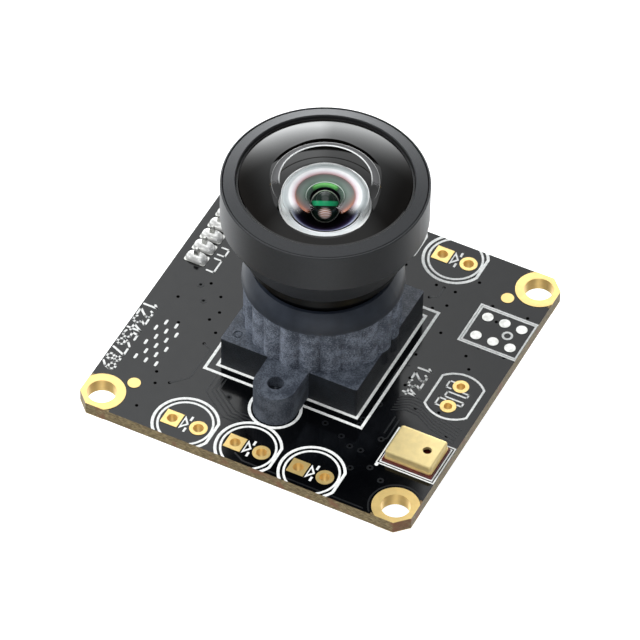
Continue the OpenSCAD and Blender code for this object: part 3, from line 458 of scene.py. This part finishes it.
def ribbon(points, width, z, height, sharpest=0.3):
    """A line of even width with mitred corners, in one piece; `sharpest` limits the mitres."""
    sides = ([], [])
    for i, (x, y) in enumerate(points):
        before = points[max(i - 1, 0)]
        after = points[min(i + 1, len(points) - 1)]
        units = []
        for (x0, y0), (x1, y1) in ((before, (x, y)), ((x, y), after)):
            length = math.hypot(x1 - x0, y1 - y0)
            if length:
                units.append((-(y1 - y0) / length, (x1 - x0) / length))
        nx = sum(u[0] for u in units) / len(units)
        ny = sum(u[1] for u in units) / len(units)
        reach = width / 2 / max(nx * nx + ny * ny, sharpest)
        sides[0].append((x + nx * reach, y + ny * reach))
        sides[1].append((x - nx * reach, y - ny * reach))
    verts, faces = [], []
    for (xa, ya), (xb, yb) in zip(*sides):
        verts += [(xa, ya, z), (xb, yb, z), (xb, yb, z + height), (xa, ya, z + height)]
    for i in range(len(points) - 1):
        a, b = 4 * i, 4 * i + 4
        faces += [(a + k, b + k, b + (k + 1) % 4, a + (k + 1) % 4) for k in range(4)]
    last = 4 * (len(points) - 1)
    faces += [(0, 1, 2, 3), (last + 3, last + 2, last + 1, last)]
    return verts, faces


def lathe(profile, steps=128):
    """A profile of (r, z) points turned about the lens's axis."""
    on_axis = 1e-6
    verts, faces, rows = [], [], []
    for r, z in profile:
        if r < on_axis:
            rows.append([len(verts)] * steps)
            verts.append((0, 0, z))
        else:
            rows.append([len(verts) + i for i in range(steps)])
            verts += [(r * c, r * s, z) for c, s in directions(steps)]
    for row, after in zip(rows, rows[1:]):
        for i in range(steps):
            j = (i + 1) % steps
            face = []
            for v in (row[i], row[j], after[j], after[i]):
                if v not in face:
                    face.append(v)
            if len(face) > 2:
                faces.append(tuple(face))
    return verts, faces


def hoop(r, z, wire, sides=10):
    """A round wire of radius `wire` bent into a circle about the lens's axis."""
    angles = [2 * math.pi * i / sides for i in range(sides + 1)]
    return lathe([(r + wire * math.cos(a), z + wire * math.sin(a)) for a in angles])


def blob(cx, cy, half_x, half_y, low, high, rows=10, steps=40):
    """A rounded lump on an oblong pad; the powers make it fuller than an ellipsoid."""
    swell, square_x, square_y = 0.7, 0.72, 0.8
    verts, faces = [], []
    for row in range(rows + 1):
        rise = math.radians(90 * row / rows)
        reach, z = math.cos(rise) ** swell, low + (high - low) * math.sin(rise)
        for c, s in directions(steps):
            verts.append((cx + half_x * reach * math.copysign(abs(c) ** square_x, c),
                          cy + half_y * reach * math.copysign(abs(s) ** square_y, s), z))
    faces.append(tuple(range(steps - 1, -1, -1)))
    for row in range(0, rows * steps, steps):
        for i in range(steps):
            j = (i + 1) % steps
            faces.append((row + i, row + j, row + steps + j, row + steps + i))
    return verts, faces


# ---------- lens ----------

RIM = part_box("lens_barrel")[1].z / MM
# The front glass: its dome's curve, edge and centre, its flange, its step and its back face
DOME_R, DOME_EDGE = 18.0, 7.42
DOME_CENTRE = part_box("front_glass")[1].z / MM - DOME_R
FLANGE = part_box("front_glass")[1].x / MM
STEP, BACK = RIM - 0.5, RIM - 2.06
# Radii of the ring under the dome, the opening to the second glass, and the third glass
RING, THROAT, THIRD = 4.62, 3.97, 2.56
# Height of the second glass's face, where the third glass starts
FACE = RIM - 1.62
# The painted rim's opening: share ahead of the axis, and the opening's radius there
OPENING = ((-1.01, 4.0), (-0.8, 4.05), (-0.2, 4.7), (0.2, 4.8), (0.5, 5.2),
           (0.69, 5.65), (0.8, 6.0), (0.88, 6.4), (1.01, 6.9))
# How the black paint's normals bend per metre from the axis, and lean, to gloss like the dome
GLOSS_BEND = (28, 28, 0)
GLOSS_LEAN = (0.09, -0.18, 1)


def dome_height(r):
    return DOME_CENTRE + math.sqrt(DOME_R ** 2 - r ** 2)


def place_on_lens(f):
    """The share ahead of the axis, 1 towards the viewer and -1 behind, and the radius."""
    x, y = f.axis(f.place, "X"), f.axis(f.place, "Y")
    r = f.math("SQRT", f.math("ADD", f.times(x, x), f.times(y, y)))
    ahead = f.math("ADD", f.times(x, AHEAD[0]), f.times(y, AHEAD[1]))
    never_zero = f.math("MAXIMUM", r, 1e-6)
    return f.math("DIVIDE", ahead, never_zero), r


def lay_tone(f, tone, ahead, fade, grain_size, grain_low):
    """Colour with a faint grain; the piece goes clear between the two shares of `fade`."""
    grain = f.wander(grain_size, 2, grain_low, 1.0)
    f.put("Base Color", f.mix(1.0, tone, grain, kind="MULTIPLY"))
    if fade:
        f.put("Alpha", f.span(ahead, *fade, 1.0, 0.0))


def gloss_like_dome(f):
    """Bend the shading normals, so that the paint takes the gloss of the dome above it."""
    bent = f.vector("MULTIPLY", f.place, GLOSS_BEND)["Vector"]
    leaned = f.vector("ADD", bent, GLOSS_LEAN)["Vector"]
    turned = f.node("ShaderNodeVectorTransform", vector_type="NORMAL",
                    convert_from="OBJECT", convert_to="WORLD")
    f.feed(turned.inputs[0], leaned)
    f.put("Normal", turned.outputs["Vector"])


def depth_finish(name, rough, stops, front=None, fade=None, domed=False, **sockets):
    """Rings of colour by radius, for the black paint and for the painted reflections; `front` is
    the set of stops that shows towards the viewer, as painted light that differs by side.
    """
    f = Finish(name, rough=rough, **sockets)
    ahead, r = place_on_lens(f)
    low, high = stops[0][0], stops[-1][0]

    def ramp(points):
        made = f.node("ShaderNodeValToRGB")
        f.feed(made.inputs[0], f.span(r, low * MM, high * MM, kind="LINEAR"))
        bar = made.color_ramp
        while len(bar.elements) < len(points):
            bar.elements.new(0.5)
        for element, (radius, colour) in zip(bar.elements, points):
            element.position = (radius - low) / (high - low)
            element.color = (*rgb(*colour), 1)
        return made.outputs[0]

    tone = ramp(stops)
    if front:
        # Painted light: towards the viewer the stops of `front` take over
        tone = f.mix(f.span(ahead, -0.3, 0.85), tone, ramp(front))
    lay_tone(f, tone, ahead, fade, 0.5, 0.93)
    if domed:
        gloss_like_dome(f)
    return f.material


def line_finish(name, back, front, fade):
    """A thin line whose tone runs from the back of the lens to its front; a bright one is a painted
    glint.
    """
    f = Finish(name, rough=0.3)
    ahead, _ = place_on_lens(f)
    tone = f.mix(f.span(ahead, -0.9, 0.5), rgb(*back), rgb(*front))
    lay_tone(f, tone, ahead, fade, 0.6, 0.9)
    return f.material


def add_inside(name, shape, slot, finish):
    """A piece of the look into the lens.

    It travels with the lens and doesn't turn, because it is open on the viewer's side.
    """
    return add_piece(name, shape, slot, "focus_travel", finish=finish)


def keep_clear(piece):
    """The piece throws no shadow and shows in no reflection."""
    piece.visible_glossy = False
    piece.visible_diffuse = False
    piece.visible_shadow = False


def add_dome(steps=24, gap=0.02):
    """The front glass as a clear skin: gloss at grazing sight, see-through elsewhere."""
    straight_on, gain = 0.14, 1.15
    f = Finish("front_skin", rough=0.02, metal=1.0)
    f.mottle((0.96, 0.98, 1), (1, 1, 1), 3.0)
    gloss = f.node("ShaderNodeFresnel")
    gloss.inputs["IOR"].default_value = 1.5
    grazing = f.math("SUBTRACT", gloss.outputs[0], straight_on)
    f.put("Alpha", f.math("MULTIPLY", grazing, gain, clamp=True))
    radii = [DOME_EDGE * i / steps for i in range(steps + 1)]
    skin = [(r, dome_height(r)) for r in radii]
    skin += [(DOME_EDGE, STEP), (FLANGE - gap, STEP), (FLANGE - gap, BACK - gap)]
    keep_clear(add_piece("front_dome", lathe(skin, 160), "glass_front", "lens",
                         replaces=("front_glass",), finish=f.material))


def add_paint():
    """Black paint on the front glass's back face and down to the second glass's opening."""
    black = [(3.9, (7, 6, 6)), (6.6, (9, 8, 7)), (7.4, (14, 12, 10))]
    profile = [(8.0, BACK), (6.2, BACK), (4.4, BACK), (THROAT, RIM - 2.76)]
    add_inside("front_funnel", lathe(profile), "glass_front",
               depth_finish("front_funnel", 0.08, black, domed=True, Specular_IOR_Level=0.6))


def add_mask(steps=128, rows=8, under=0.02):
    """The painted rim of the front glass: it follows the dome, wider behind than in front."""
    verts, faces = [], []
    edge = DOME_EDGE - 0.01
    for c, s in directions(steps):
        ahead = AHEAD[0] * c + AHEAD[1] * s
        for (a0, r0), (a1, r1) in zip(OPENING, OPENING[1:]):
            if a0 <= ahead <= a1:
                inner = r0 + (r1 - r0) * (ahead - a0) / (a1 - a0)
        for row in range(rows + 1):
            r = inner + (edge - inner) * row / rows
            verts.append((r * c, r * s, dome_height(r) - under))
    count = rows + 1
    for i in range(steps):
        j = (i + 1) % steps
        faces += [(i * count + row, i * count + row + 1, j * count + row + 1, j * count + row)
                  for row in range(rows)]
    paint = depth_finish("front_mask", 0.09, [(4.6, (6, 6, 6)), (DOME_EDGE, (16, 14, 12))],
                         Specular_IOR_Level=0.24)
    keep_clear(add_inside("front_mask", (verts, faces), "glass_front", paint))


def add_first_ring():
    """The grey ring that the dome shows round the opening to the second glass: a painted
    reflection, lighter behind, with painted shade in front.
    """
    # Painted reflection behind, and darker painted shade towards the viewer
    back = [(3.9, (104, 104, 106)), (RING, (74, 74, 75))]
    front = [(3.9, (72, 72, 74)), (RING, (48, 48, 48))]
    profile = [(RING, RIM + 0.08), (4.3, RIM + 0.22), (THROAT, RIM + 0.36)]
    add_inside("first_ring", lathe(profile), "glass_front",
               depth_finish("first_ring", 0.08, back, front, (0.0, 0.16), domed=True))


def add_second_glass():
    """A floor with a dark middle and a bright ring of painted reflection, an open face of painted
    reflections, and a clear bowl over both.
    """
    # Painted reflection: a silver-white ring with a purple fringe round the dark middle
    painted_silver_reflection = [(0.0, (6, 6, 8)), (1.8, (12, 9, 14)), (2.4, (26, 18, 38)), (2.66, (66, 62, 96)),
              (2.82, (166, 174, 208)), (2.95, (226, 231, 240)), (3.3, (234, 238, 240)),
              (3.6, (226, 231, 231)), (THROAT, (255, 255, 254))]
    floor = [(THROAT, RIM - 2.74), (3.6, RIM - 2.84), (3.1, RIM - 2.9), (2.4, RIM - 3.3),
             (1.2, RIM - 4.1), (0, RIM - 4.25)]
    add_inside("second_floor", lathe(floor), "glass_inner",
               depth_finish("second_floor", 0.3, painted_silver_reflection))
    # Painted reflection: pale rings on the open face
    pale = [(2.55, (150, 118, 124)), (2.68, (214, 190, 196)), (2.9, (240, 238, 242)),
            (3.1, (246, 247, 248)), (3.22, (196, 202, 204)), (3.5, (176, 184, 186)),
            (3.85, (222, 227, 227))]
    face = [(3.85, RIM - 2.3), (3.72, FACE), (3.2, FACE + 0.04), (2.55, FACE)]
    add_inside("second_face", lathe(face), "glass_inner",
               depth_finish("second_face", 0.25, pale, fade=(0.25, 0.75)))
    add_bowl()


def add_bowl(wide=3.84, tall=3.2, steps=30):
    """Half an ellipsoid of clear glass that whitens towards its outline as a painted reflection."""
    f = Finish("second_bowl", rough=0.15)
    f.mottle(rgb(240, 244, 244), rgb(255, 255, 255), 0.8)
    # Painted reflection: the white shows only towards the outline
    f.put("Alpha", f.outline(0.66, 0.94))
    angles = [math.radians(90 * i / steps) for i in range(steps + 1)]
    profile = [(wide * math.cos(a), RIM - 2.68 + tall * math.sin(a)) for a in angles]
    keep_clear(add_piece("second_bowl", lathe(profile), "glass_inner", "lens",
                         replaces=("second_lens",), finish=f.material))


def add_third_glass():
    """A face whose green tints and warm side towards the viewer are painted reflections, and the
    green ring inside it, a painted reflection too.
    """
    # Painted reflections of the coatings: greens, and warm tones towards the viewer
    tint = [(1.3, (44, 58, 52)), (1.62, (84, 104, 92)), (2.1, (92, 108, 100)),
            (2.42, (82, 86, 82)), (THIRD, (120, 92, 90))]
    warm = [(1.3, (22, 14, 18)), (1.9, (54, 34, 42)), (2.2, (110, 66, 60)),
            (2.45, (168, 96, 60)), (THIRD, (132, 84, 80))]
    face = [(THIRD, FACE), (2.1, FACE - 0.1), (1.64, FACE - 0.12), (1.3, FACE - 0.4)]
    add_inside("third_face", lathe(face), "glass_inner",
               depth_finish("third_face", 0.12, tint, warm, (0.72, 0.86)))
    # Painted reflection: the green ring
    green = [(1.2, (30, 84, 50)), (1.45, (110, 196, 100)), (1.62, (50, 110, 66))]
    ring = [(1.6, FACE - 0.1), (1.42, FACE - 0.05), (1.25, FACE - 0.3)]
    add_inside("green_ring", lathe(ring), "glass_inner",
               depth_finish("green_ring", 0.12, green, fade=(-0.85, -0.55)))


def add_lines():
    """The thin lines between the rings, all but the dark one painted glints: radius, height, wire,
    tones behind and ahead, fade.
    """
    for name, r, z, wire, back, front, fade in (
            ("first_line", THROAT, RIM + 0.38, 0.06, (240, 242, 242), (160, 160, 160), (0.0, 0.2)),
            ("second_line", 3.74, FACE + 0.02, 0.04, (252, 254, 254), (220, 224, 224), (0.1, 0.5)),
            ("outer_line", RING, RIM + 0.08, 0.03, (176, 176, 176), (90, 90, 90), (0.3, 0.5)),
            ("dark_line", 3.1, RIM - 2.85, 0.07, (8, 8, 12), (4, 4, 8), None),
            ("white_line", 3.22, RIM - 2.84, 0.04, (235, 238, 242), (248, 250, 252), None),
            ("third_line", THIRD, FACE + 0.01, 0.022, (196, 160, 160), (180, 110, 80), (0.7, 0.85)),
            ("fourth_line", 1.64, FACE - 0.09, 0.035, (206, 220, 212), (120, 130, 124), (0.1, 0.5)),
            ("gold_line", 4.95, RIM - 2.02, 0.02, (20, 18, 14), (150, 124, 62), None)):
        add_inside(name, hoop(r, z, wire), "glass_inner", line_finish(name, back, front, fade))


def add_pupil(z, wide=1.31, tall=1.52, rows=40):
    """A tall ball of dark coated glass with painted reflections: a pale outline, a green bar and a
    warm spot.
    """
    f = Finish("pupil", rough=0.06, IOR=1.5)
    # Height over the ball's middle, as the picture shows it
    height = f.math("SUBTRACT", f.vector("DOT_PRODUCT", f.place, PICTURE_UP)["Value"],
                    PICTURE_UP[2] * z * MM)
    dark = f.mix(f.noise(0.5, 2), rgb(8, 14, 12), rgb(22, 40, 32))
    # Painted reflection: a green bar across the ball
    bar = f.times(f.span(height, 0.0, 0.06 * MM), f.span(height, 0.5 * MM, 0.38 * MM))
    tone = f.mix(bar, dark, rgb(28, 140, 92))
    # Painted glint: a warm spot with pale stripes
    spot = (0.5 * MM, -1.03 * MM, (z + 0.36) * MM)
    near = f.span(f.vector("DISTANCE", f.place, spot)["Value"], 0.66 * MM, 0.3 * MM)
    stripe_pitch = 0.17 * MM
    wave = f.math("SINE", f.times(f.axis(f.place, "Z"), 2 * math.pi / stripe_pitch))
    warm = f.mix(f.span(wave, -0.3, 0.6), rgb(176, 112, 70), rgb(250, 240, 242))
    tone = f.mix(near, tone, warm)
    # Painted reflection: a pale outline where the sight grazes the ball
    f.put("Base Color", f.mix(f.outline(0.6, 0.72), tone, rgb(178, 184, 172)))
    angles = [math.pi * i / rows for i in range(rows + 1)]
    ball = [(wide * math.sin(a), z + tall * math.cos(a)) for a in angles]
    add_inside("pupil", lathe(ball, 64), "glass_inner", f.material)


def add_lens():
    """The front glass and what shows in its depth, from the top down."""
    add_dome()
    add_paint()
    add_mask()
    add_first_ring()
    add_second_glass()
    add_third_glass()
    add_lines()
    add_pupil(RIM - 3.0)


# ---------- print ----------

PRINT_HIGH = 0.03
# Strokes of the digits in a box 0.6 wide and 1 high
DIGITS = {
    "1": [[(0.12, 0.78), (0.34, 1), (0.34, 0)]],
    "2": [[(0, 0.8), (0.12, 1), (0.48, 1), (0.6, 0.84), (0.58, 0.62), (0, 0), (0.6, 0)]],
    "3": [[(0, 1), (0.58, 1), (0.28, 0.6), (0.5, 0.52), (0.6, 0.3), (0.48, 0.03), (0.15, 0),
           (0, 0.12)]],
    "4": [[(0.44, 0), (0.44, 1), (0, 0.3), (0.6, 0.3)]],
    "5": [[(0.56, 1), (0.05, 1), (0, 0.55), (0.4, 0.6), (0.6, 0.4), (0.55, 0.1), (0.3, 0),
           (0, 0.08)]],
    "6": [[(0.5, 1), (0.12, 0.68), (0, 0.3), (0.14, 0), (0.46, 0), (0.6, 0.26), (0.46, 0.52),
           (0.06, 0.44)]],
    "7": [[(0, 1), (0.6, 1), (0.2, 0)]],
    "8": [[(0.3, 0.54), (0.06, 0.7), (0.12, 0.97), (0.48, 0.97), (0.54, 0.7), (0.3, 0.54),
           (0.02, 0.34), (0.1, 0), (0.5, 0), (0.58, 0.34), (0.3, 0.54)]],
    "9": [[(0.1, 0), (0.48, 0.32), (0.6, 0.7), (0.46, 1), (0.14, 1), (0, 0.74), (0.14, 0.48),
           (0.54, 0.56)]],
}
DIGIT_PITCH, DIGIT_STROKE = 0.98, 0.16
# Text, place and height of each row of numbers
NUMBERS = (("123456789", -15.8, -2.9, 1.25), ("1234", 8.9, 1.4, 1.2))
# The field of dashes: rows, the first row's y, their spacing, a dash's width and ends, and the
# places along even and odd rows
DASH_ROWS, DASH_FIRST, DASH_PITCH, DASH_WIDE = 6, -4.4, 0.95, 0.24
DASH_ENDS = (-0.18, 0.2)
DASH_PLACES = ((-13.05, -12.05), (-13.55, -12.55, -11.55))
# Two brackets beside the corner, from y to y, and the light sensor's symbol
BRACKET_OUT, BRACKET_IN, BRACKET_WIDE = -12.8, -12.1, 0.16
BRACKETS = ((4.35, 2.8), (5.8, 4.9))
SYMBOL_WIDE = 0.15
SYMBOL = (((12.6, 0.9), (12.0, 0.9), (12.0, 0.1), (12.45, 0.1)),
          ((12.6, -1.25), (12.0, -1.25), (12.0, -2.1), (12.45, -2.1)),
          ((13.6, 0.12), (14.2, 0.12), (14.2, -0.31), (12.35, -0.31), (12.35, -0.94),
           (14.2, -0.94), (14.2, -1.4), (13.8, -1.4)))


def print_line(points, width):
    """A printed line with round ends and corners, as a list of shapes."""
    parts = []
    for (x0, y0), (x1, y1) in zip(points, points[1:]):
        turn = math.degrees(math.atan2(y1 - y0, x1 - x0))
        outline = arc(x1, y1, width / 2, turn - 90, turn + 90, 6)
        outline += arc(x0, y0, width / 2, turn + 90, turn + 270, 6)
        parts.append(prism(outline, TOP, PRINT_HIGH))
    return parts


def digits(text, x, y, height):
    """Numbers that read towards -y with their tops towards +x."""
    parts = []
    for i, letter in enumerate(text):
        for stroke in DIGITS[letter]:
            line = [(x + v * height, y - i * DIGIT_PITCH - u * height) for u, v in stroke]
            parts += print_line(line, DIGIT_STROKE * height)
    return parts


def add_print():
    """Counting numbers, dashes, the corner's brackets and the light sensor's symbol."""
    parts = []
    for row in NUMBERS:
        parts += digits(*row)
    for row in range(DASH_ROWS):
        y = DASH_FIRST - row * DASH_PITCH
        for x in DASH_PLACES[row % 2]:
            parts += print_line([(x, y + end) for end in DASH_ENDS], DASH_WIDE)
    for start, end in BRACKETS:
        bracket = [(BRACKET_OUT, start), (BRACKET_IN, start), (BRACKET_IN, end), (BRACKET_OUT, end)]
        parts += print_line(bracket, BRACKET_WIDE)
    for line in SYMBOL:
        parts += print_line(line, SYMBOL_WIDE)
    add_piece("board_numbers", joined(parts), "print", "board", smooth=False)


# ---------- copper and solder ----------

TRACE_HIGH, TRACE_WIDE = 0.014, 0.15
VIA_HIGH, VIA_RING_HIGH = TRACE_HIGH * 0.7, TRACE_HIGH * 1.4
VIA_R, RINGED_VIA_R, VIA_RING_R = 0.15, 0.13, 0.3
VIAS = ((-10.2, 0.5), (-13.55, -1.2), (-9.45, -1.2), (-9.85, -2.35), (-8.65, -3.5), (-12.1, -3.9),
        (-8.95, -5.1), (-11.1, -9.9), (-9.5, -10.55), (-10.6, -11.15), (-10.8, -14.2),
        (-11.7, 1.55), (2.5, 11.5), (5.95, 10.55), (6.7, 10.55), (7.8, 10.55), (9.2, 12.55),
        (6.05, 8.95), (7.85, 8.75), (11.45, 10.55), (14.8, 10.65), (12.55, 9.0), (8.8, 5.6),
        (6.85, 7.9), (11.95, 4.15), (12.85, 2.85), (12.5, 5.5), (14.95, 5.5), (8.0, 2.3),
        (8.75, -0.4), (8.75, -1.35), (10.75, -3.4), (14.55, -5.05), (12.75, -2.9))
RINGED_VIAS = ((-11.35, -0.6), (-12.45, 1.0), (8.7, -9.9), (6.5, -9.2), (4.6, -8.5), (7.65, -9.9),
               (8.8, -12.1), (10.3, -11.3), (11.75, -12.2), (7.8, -4.4), (7.3, -6.6), (7.3, -7.3),
               (9.7, -7.95), (-4.15, -9.7))
# A bundle of runs: x of the start, y of the first bend, and the second bend. All start at one y,
# and end with a level stretch of one length
BUNDLE_START, BUNDLE_END = -7.9, 2.2
BUNDLE = ((-6.25, -9.9, -3.6, -11.95), (-5.8, -9.65, -3.3, -11.55),
          (-5.6, -9.35, -3.1, -11.2), (-5.3, -9.1, -2.9, -10.85))
# One run of the fan on the right, the number of like runs, and their spacing
FAN = ((8.9, -4.5), (10.1, -3.9), (11.3, -4.0), (12.9, -4.9), (15.4, -5.5))
FAN_RUNS, FAN_PITCH = 6, 0.34
# Runs by themselves
RUNS = (((9.62, -5), (9.62, -7.2)),
        ((10.1, -5.2), (10.1, -7.6), (9.85, -7.85)),
        ((-0.8, -15.1), (0.2, -15.65), (11.8, -15.7)),
        ((7.35, -3.4), (7.35, 0.2), (7.6, 0.7), (8.15, 0.9)),
        ((-9.5, -10.55), (-8.2, -9.2), (-8.2, -5.4), (-8.95, -5.1)),
        ((6.7, 10.55), (6.7, 9.4), (6.05, 8.95)))
# The run round the front right corner hole: how far the hole's middle lies from the board's
# sides, the run's radius, and the angles of its ends
HOLE_INSET, HOLE_RUN_R = 1.8, 2.38
HOLE_RUN_START, HOLE_RUN_END = 48, 222


def add_traces():
    """Copper runs under the resist."""
    f = Finish("trace", IOR=1.46)
    resist = f.mix(f.noise(1.2, 3), (0.004, 0.0048, 0.0058), (0.008, 0.009, 0.0105))
    f.put("Base Color", resist)
    f.put("Roughness", f.wander(0.8, 2, 0.3, 0.36))
    f.bump(f.noise(0.6, 2), 0.001)
    lines = [[(x, BUNDLE_START), (x, low), (bend_x, bend_y), (bend_x + BUNDLE_END, bend_y)]
             for x, low, bend_x, bend_y in BUNDLE]
    lines += [[(x, y + FAN_PITCH * run) for x, y in FAN] for run in range(FAN_RUNS)]
    lines += RUNS
    hole = HALF - HOLE_INSET
    lines.append(arc(hole, -hole, HOLE_RUN_R, HOLE_RUN_START, HOLE_RUN_END, 28))
    parts = [ribbon(line, TRACE_WIDE, TOP, TRACE_HIGH) for line in lines]
    parts += [ring_prism(x, y, RINGED_VIA_R, VIA_RING_R, TOP, VIA_RING_HIGH)
              for x, y in RINGED_VIAS]
    add_piece("board_traces", joined(parts), "board", "board", smooth=False, finish=f.material)


def add_vias():
    """The small plated holes that the runs end in, as black discs without gloss: painted shade for
    the open holes.
    """
    # Painted shade: the holes' darkness as flat black discs
    f = Finish("via", rough=0.7, Specular_IOR_Level=0.0)
    f.mottle((0.0006, 0.0006, 0.0006), (0.0016, 0.0014, 0.0012), 0.1)
    parts = [disc(x, y, VIA_R, TOP, VIA_HIGH) for x, y in VIAS]
    parts += [disc(x, y, RINGED_VIA_R, TOP, VIA_HIGH) for x, y in RINGED_VIAS]
    add_piece("board_vias", joined(parts), "board", "board", smooth=False, finish=f.material)


def add_solder(count=5, half_y=0.62, lift=0.005):
    """Smooth lumps on the connector's pads, one for each of its pins."""
    low, high = (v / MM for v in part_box("connector_solder"))
    cx, half_x = (low.x + high.x) / 2, (high.x - low.x) / 2
    pitch = (high.y - low.y - 2 * half_y) / (count - 1)
    lumps = [blob(cx, low.y + half_y + i * pitch, half_x, half_y, TOP + lift, high.z)
             for i in range(count)]
    add_piece("solder_lumps", joined(lumps), "solder", "board", replaces=("connector_solder",))


# ---------- camera, light and floor ----------

# The camera's sensor and focal length in millimetres
SENSOR_WIDTH, FOCAL_LENGTH = 36, 375.7
# All other lengths here are metres: the camera's distance, how far its aim lies from the middle
# of the board's top face, the lamps' distance, the floor's half side and its drop under the part
DISTANCE = 0.58291
AIM_RIGHT, AIM_UP = -0.00018, 0.00178
LAMP_DISTANCE = 0.6
FLOOR_HALF, FLOOR_DROP = 1.5, 0.012


def direction(azimuth, elevation):
    """The unit vector from the object towards a viewer or a lamp."""
    a, e = math.radians(azimuth), math.radians(elevation)
    return Vector((math.sin(a) * math.cos(e), -math.cos(a) * math.cos(e), math.sin(e)))


def add_camera():
    a, roll = math.radians(AZIMUTH), math.radians(ROLL)
    back = direction(AZIMUTH, ELEVATION)
    level = Vector((math.cos(a), math.sin(a), 0))
    upright = back.cross(level)
    right = math.cos(roll) * level + math.sin(roll) * upright
    up = math.cos(roll) * upright - math.sin(roll) * level
    lens = bpy.data.cameras.new("camera")
    lens.sensor_width = SENSOR_WIDTH
    lens.lens = FOCAL_LENGTH
    lens.clip_start = 0.05
    lens.clip_end = 10
    camera = place_object("camera", lens)
    aim = Vector((0, 0, TOP * MM)) + AIM_RIGHT * right + AIM_UP * up
    turn = Matrix((right, up, back)).transposed().to_4x4()
    camera.matrix_world = Matrix.Translation(aim + DISTANCE * back) @ turn
    bpy.context.scene.camera = camera


def room_light(g):
    """How bright the studio room is each way, for gloss only."""
    to = g.node("ShaderNodeTexCoord").outputs["Generated"]
    x, y, z = (g.axis(to, name) for name in "XYZ")
    cos, sin = math.cos(math.radians(AZIMUTH)), math.sin(math.radians(AZIMUTH))
    side = g.math("ADD", g.times(x, cos), g.times(y, sin))
    back = g.math("ADD", g.times(x, -sin), g.times(y, cos))
    # Upper half: a wall behind that fades to the sides and overhead, and a softer left
    wall = g.times(g.span(g.math("ABSOLUTE", side), 0.25, 0.55, 1.0, 0.12),
                   g.span(back, -0.2, 0.3, 0.15, 1.0),
                   g.span(z, 0.78, 0.93, 1.0, 0.22),
                   g.span(z, 0.05, 0.5, 4.6, 1.0, kind="LINEAR"),
                   g.span(side, -0.03, 0.03, 1.12, 0.74, kind="LINEAR"))
    left = g.span(side, -0.75, -0.95, 0.0, 0.6)
    overhead = g.span(z, 0.8, 0.95, 0.0, 0.7)
    upper = g.largest(wall, left, overhead)
    # Lower half: the pale ground, dim to the front left and front right
    level = g.math("SQRT", g.math("MAXIMUM", g.math("SUBTRACT", 1.0, g.times(z, z)), 0.001))
    ahead = g.math("DIVIDE", g.times(back, -1.0), level)
    ground = g.largest(g.span(ahead, 0.88, 1.0, 0.1, 0.5), g.span(ahead, 0.0, -0.7, 0.1, 1.0))
    over = g.span(z, -0.12, 0.12)
    return g.math("ADD", g.times(upper, over), g.times(ground, g.math("SUBTRACT", 1.0, over)))


def add_world():
    """White to the eye and through glass, a studio room to gloss, and a faint fill."""
    world = bpy.data.worlds.new("studio")
    bpy.context.scene.world = world
    world.use_nodes = True
    world.node_tree.nodes.clear()
    g = Graph(world.node_tree)

    def background(colour, strength):
        made = g.node("ShaderNodeBackground")
        g.feed(made.inputs["Color"], colour)
        g.feed(made.inputs["Strength"], strength)
        return made.outputs[0]

    fill = background((0.93, 0.97, 1), 0.3)
    room = background((0.97, 0.99, 1), g.times(room_light(g), 2.0))
    white = background((1, 1, 1), 1)
    seen = g.math("MAXIMUM", g.rays("Is Camera Ray"), g.rays("Is Transmission Ray"))
    unseen = g.either(g.rays("Is Glossy Ray"), fill, room)
    out = g.node("ShaderNodeOutputWorld")
    g.feed(out.inputs["Surface"], g.either(seen, unseen, white))


def add_floor():
    """A pale floor that keeps the module's soft shadow, and is clear when seen from below."""
    f = Finish("floor", rough=0.9)
    f.mottle((0.86, 0.86, 0.86), (0.9, 0.9, 0.9), 60)
    glow = f.node("ShaderNodeEmission")
    f.feed(glow.inputs["Color"], (1, 1, 1))
    f.feed(glow.inputs["Strength"], f.times(f.rays("Is Camera Ray"), 0.7))
    both = f.node("ShaderNodeAddShader")
    f.feed(both.inputs[0], f.shader.outputs[0])
    f.feed(both.inputs[1], glow.outputs[0])
    clear = f.node("ShaderNodeBsdfTransparent")
    below = f.node("ShaderNodeNewGeometry").outputs["Backfacing"]
    f.feed(f.tree.nodes["Material Output"].inputs["Surface"],
           f.either(below, both.outputs[0], clear.outputs[0]))
    z = CAD_BOX[0].z - FLOOR_DROP
    corners = ((-1, -1), (1, -1), (1, 1), (-1, 1))
    mesh = bpy.data.meshes.new("floor")
    mesh.from_pydata([(x * FLOOR_HALF, y * FLOOR_HALF, z) for x, y in corners], [], [(0, 1, 2, 3)])
    mesh.materials.append(f.material)
    floor = place_object("floor", mesh)
    floor.visible_glossy = False


def add_lamp(name, azimuth, elevation, size, power):
    """A square lamp that shows in no gloss: the room does that."""
    light = bpy.data.lights.new(name, "AREA")
    light.size = size
    light.energy = power
    lamp = place_object(name, light)
    towards = direction(azimuth, elevation)
    lamp.location = towards * LAMP_DISTANCE
    lamp.rotation_mode = "QUATERNION"
    lamp.rotation_quaternion = towards.to_track_quat("Z", "Y")
    lamp.visible_glossy = False


dress_nodes()
wear_edges("lens_holder")
add_lens()
add_print()
add_traces()
add_vias()
add_solder()
add_camera()
add_world()
add_floor()
add_lamp("key_lamp", -65, 38, 0.4, 3.4)
add_lamp("side_lamp", 110, 30, 0.3, 0.9)
add_lamp("front_lamp", 15, 58, 0.3, 1.5)

bpy.context.scene.view_settings.view_transform = "Standard"
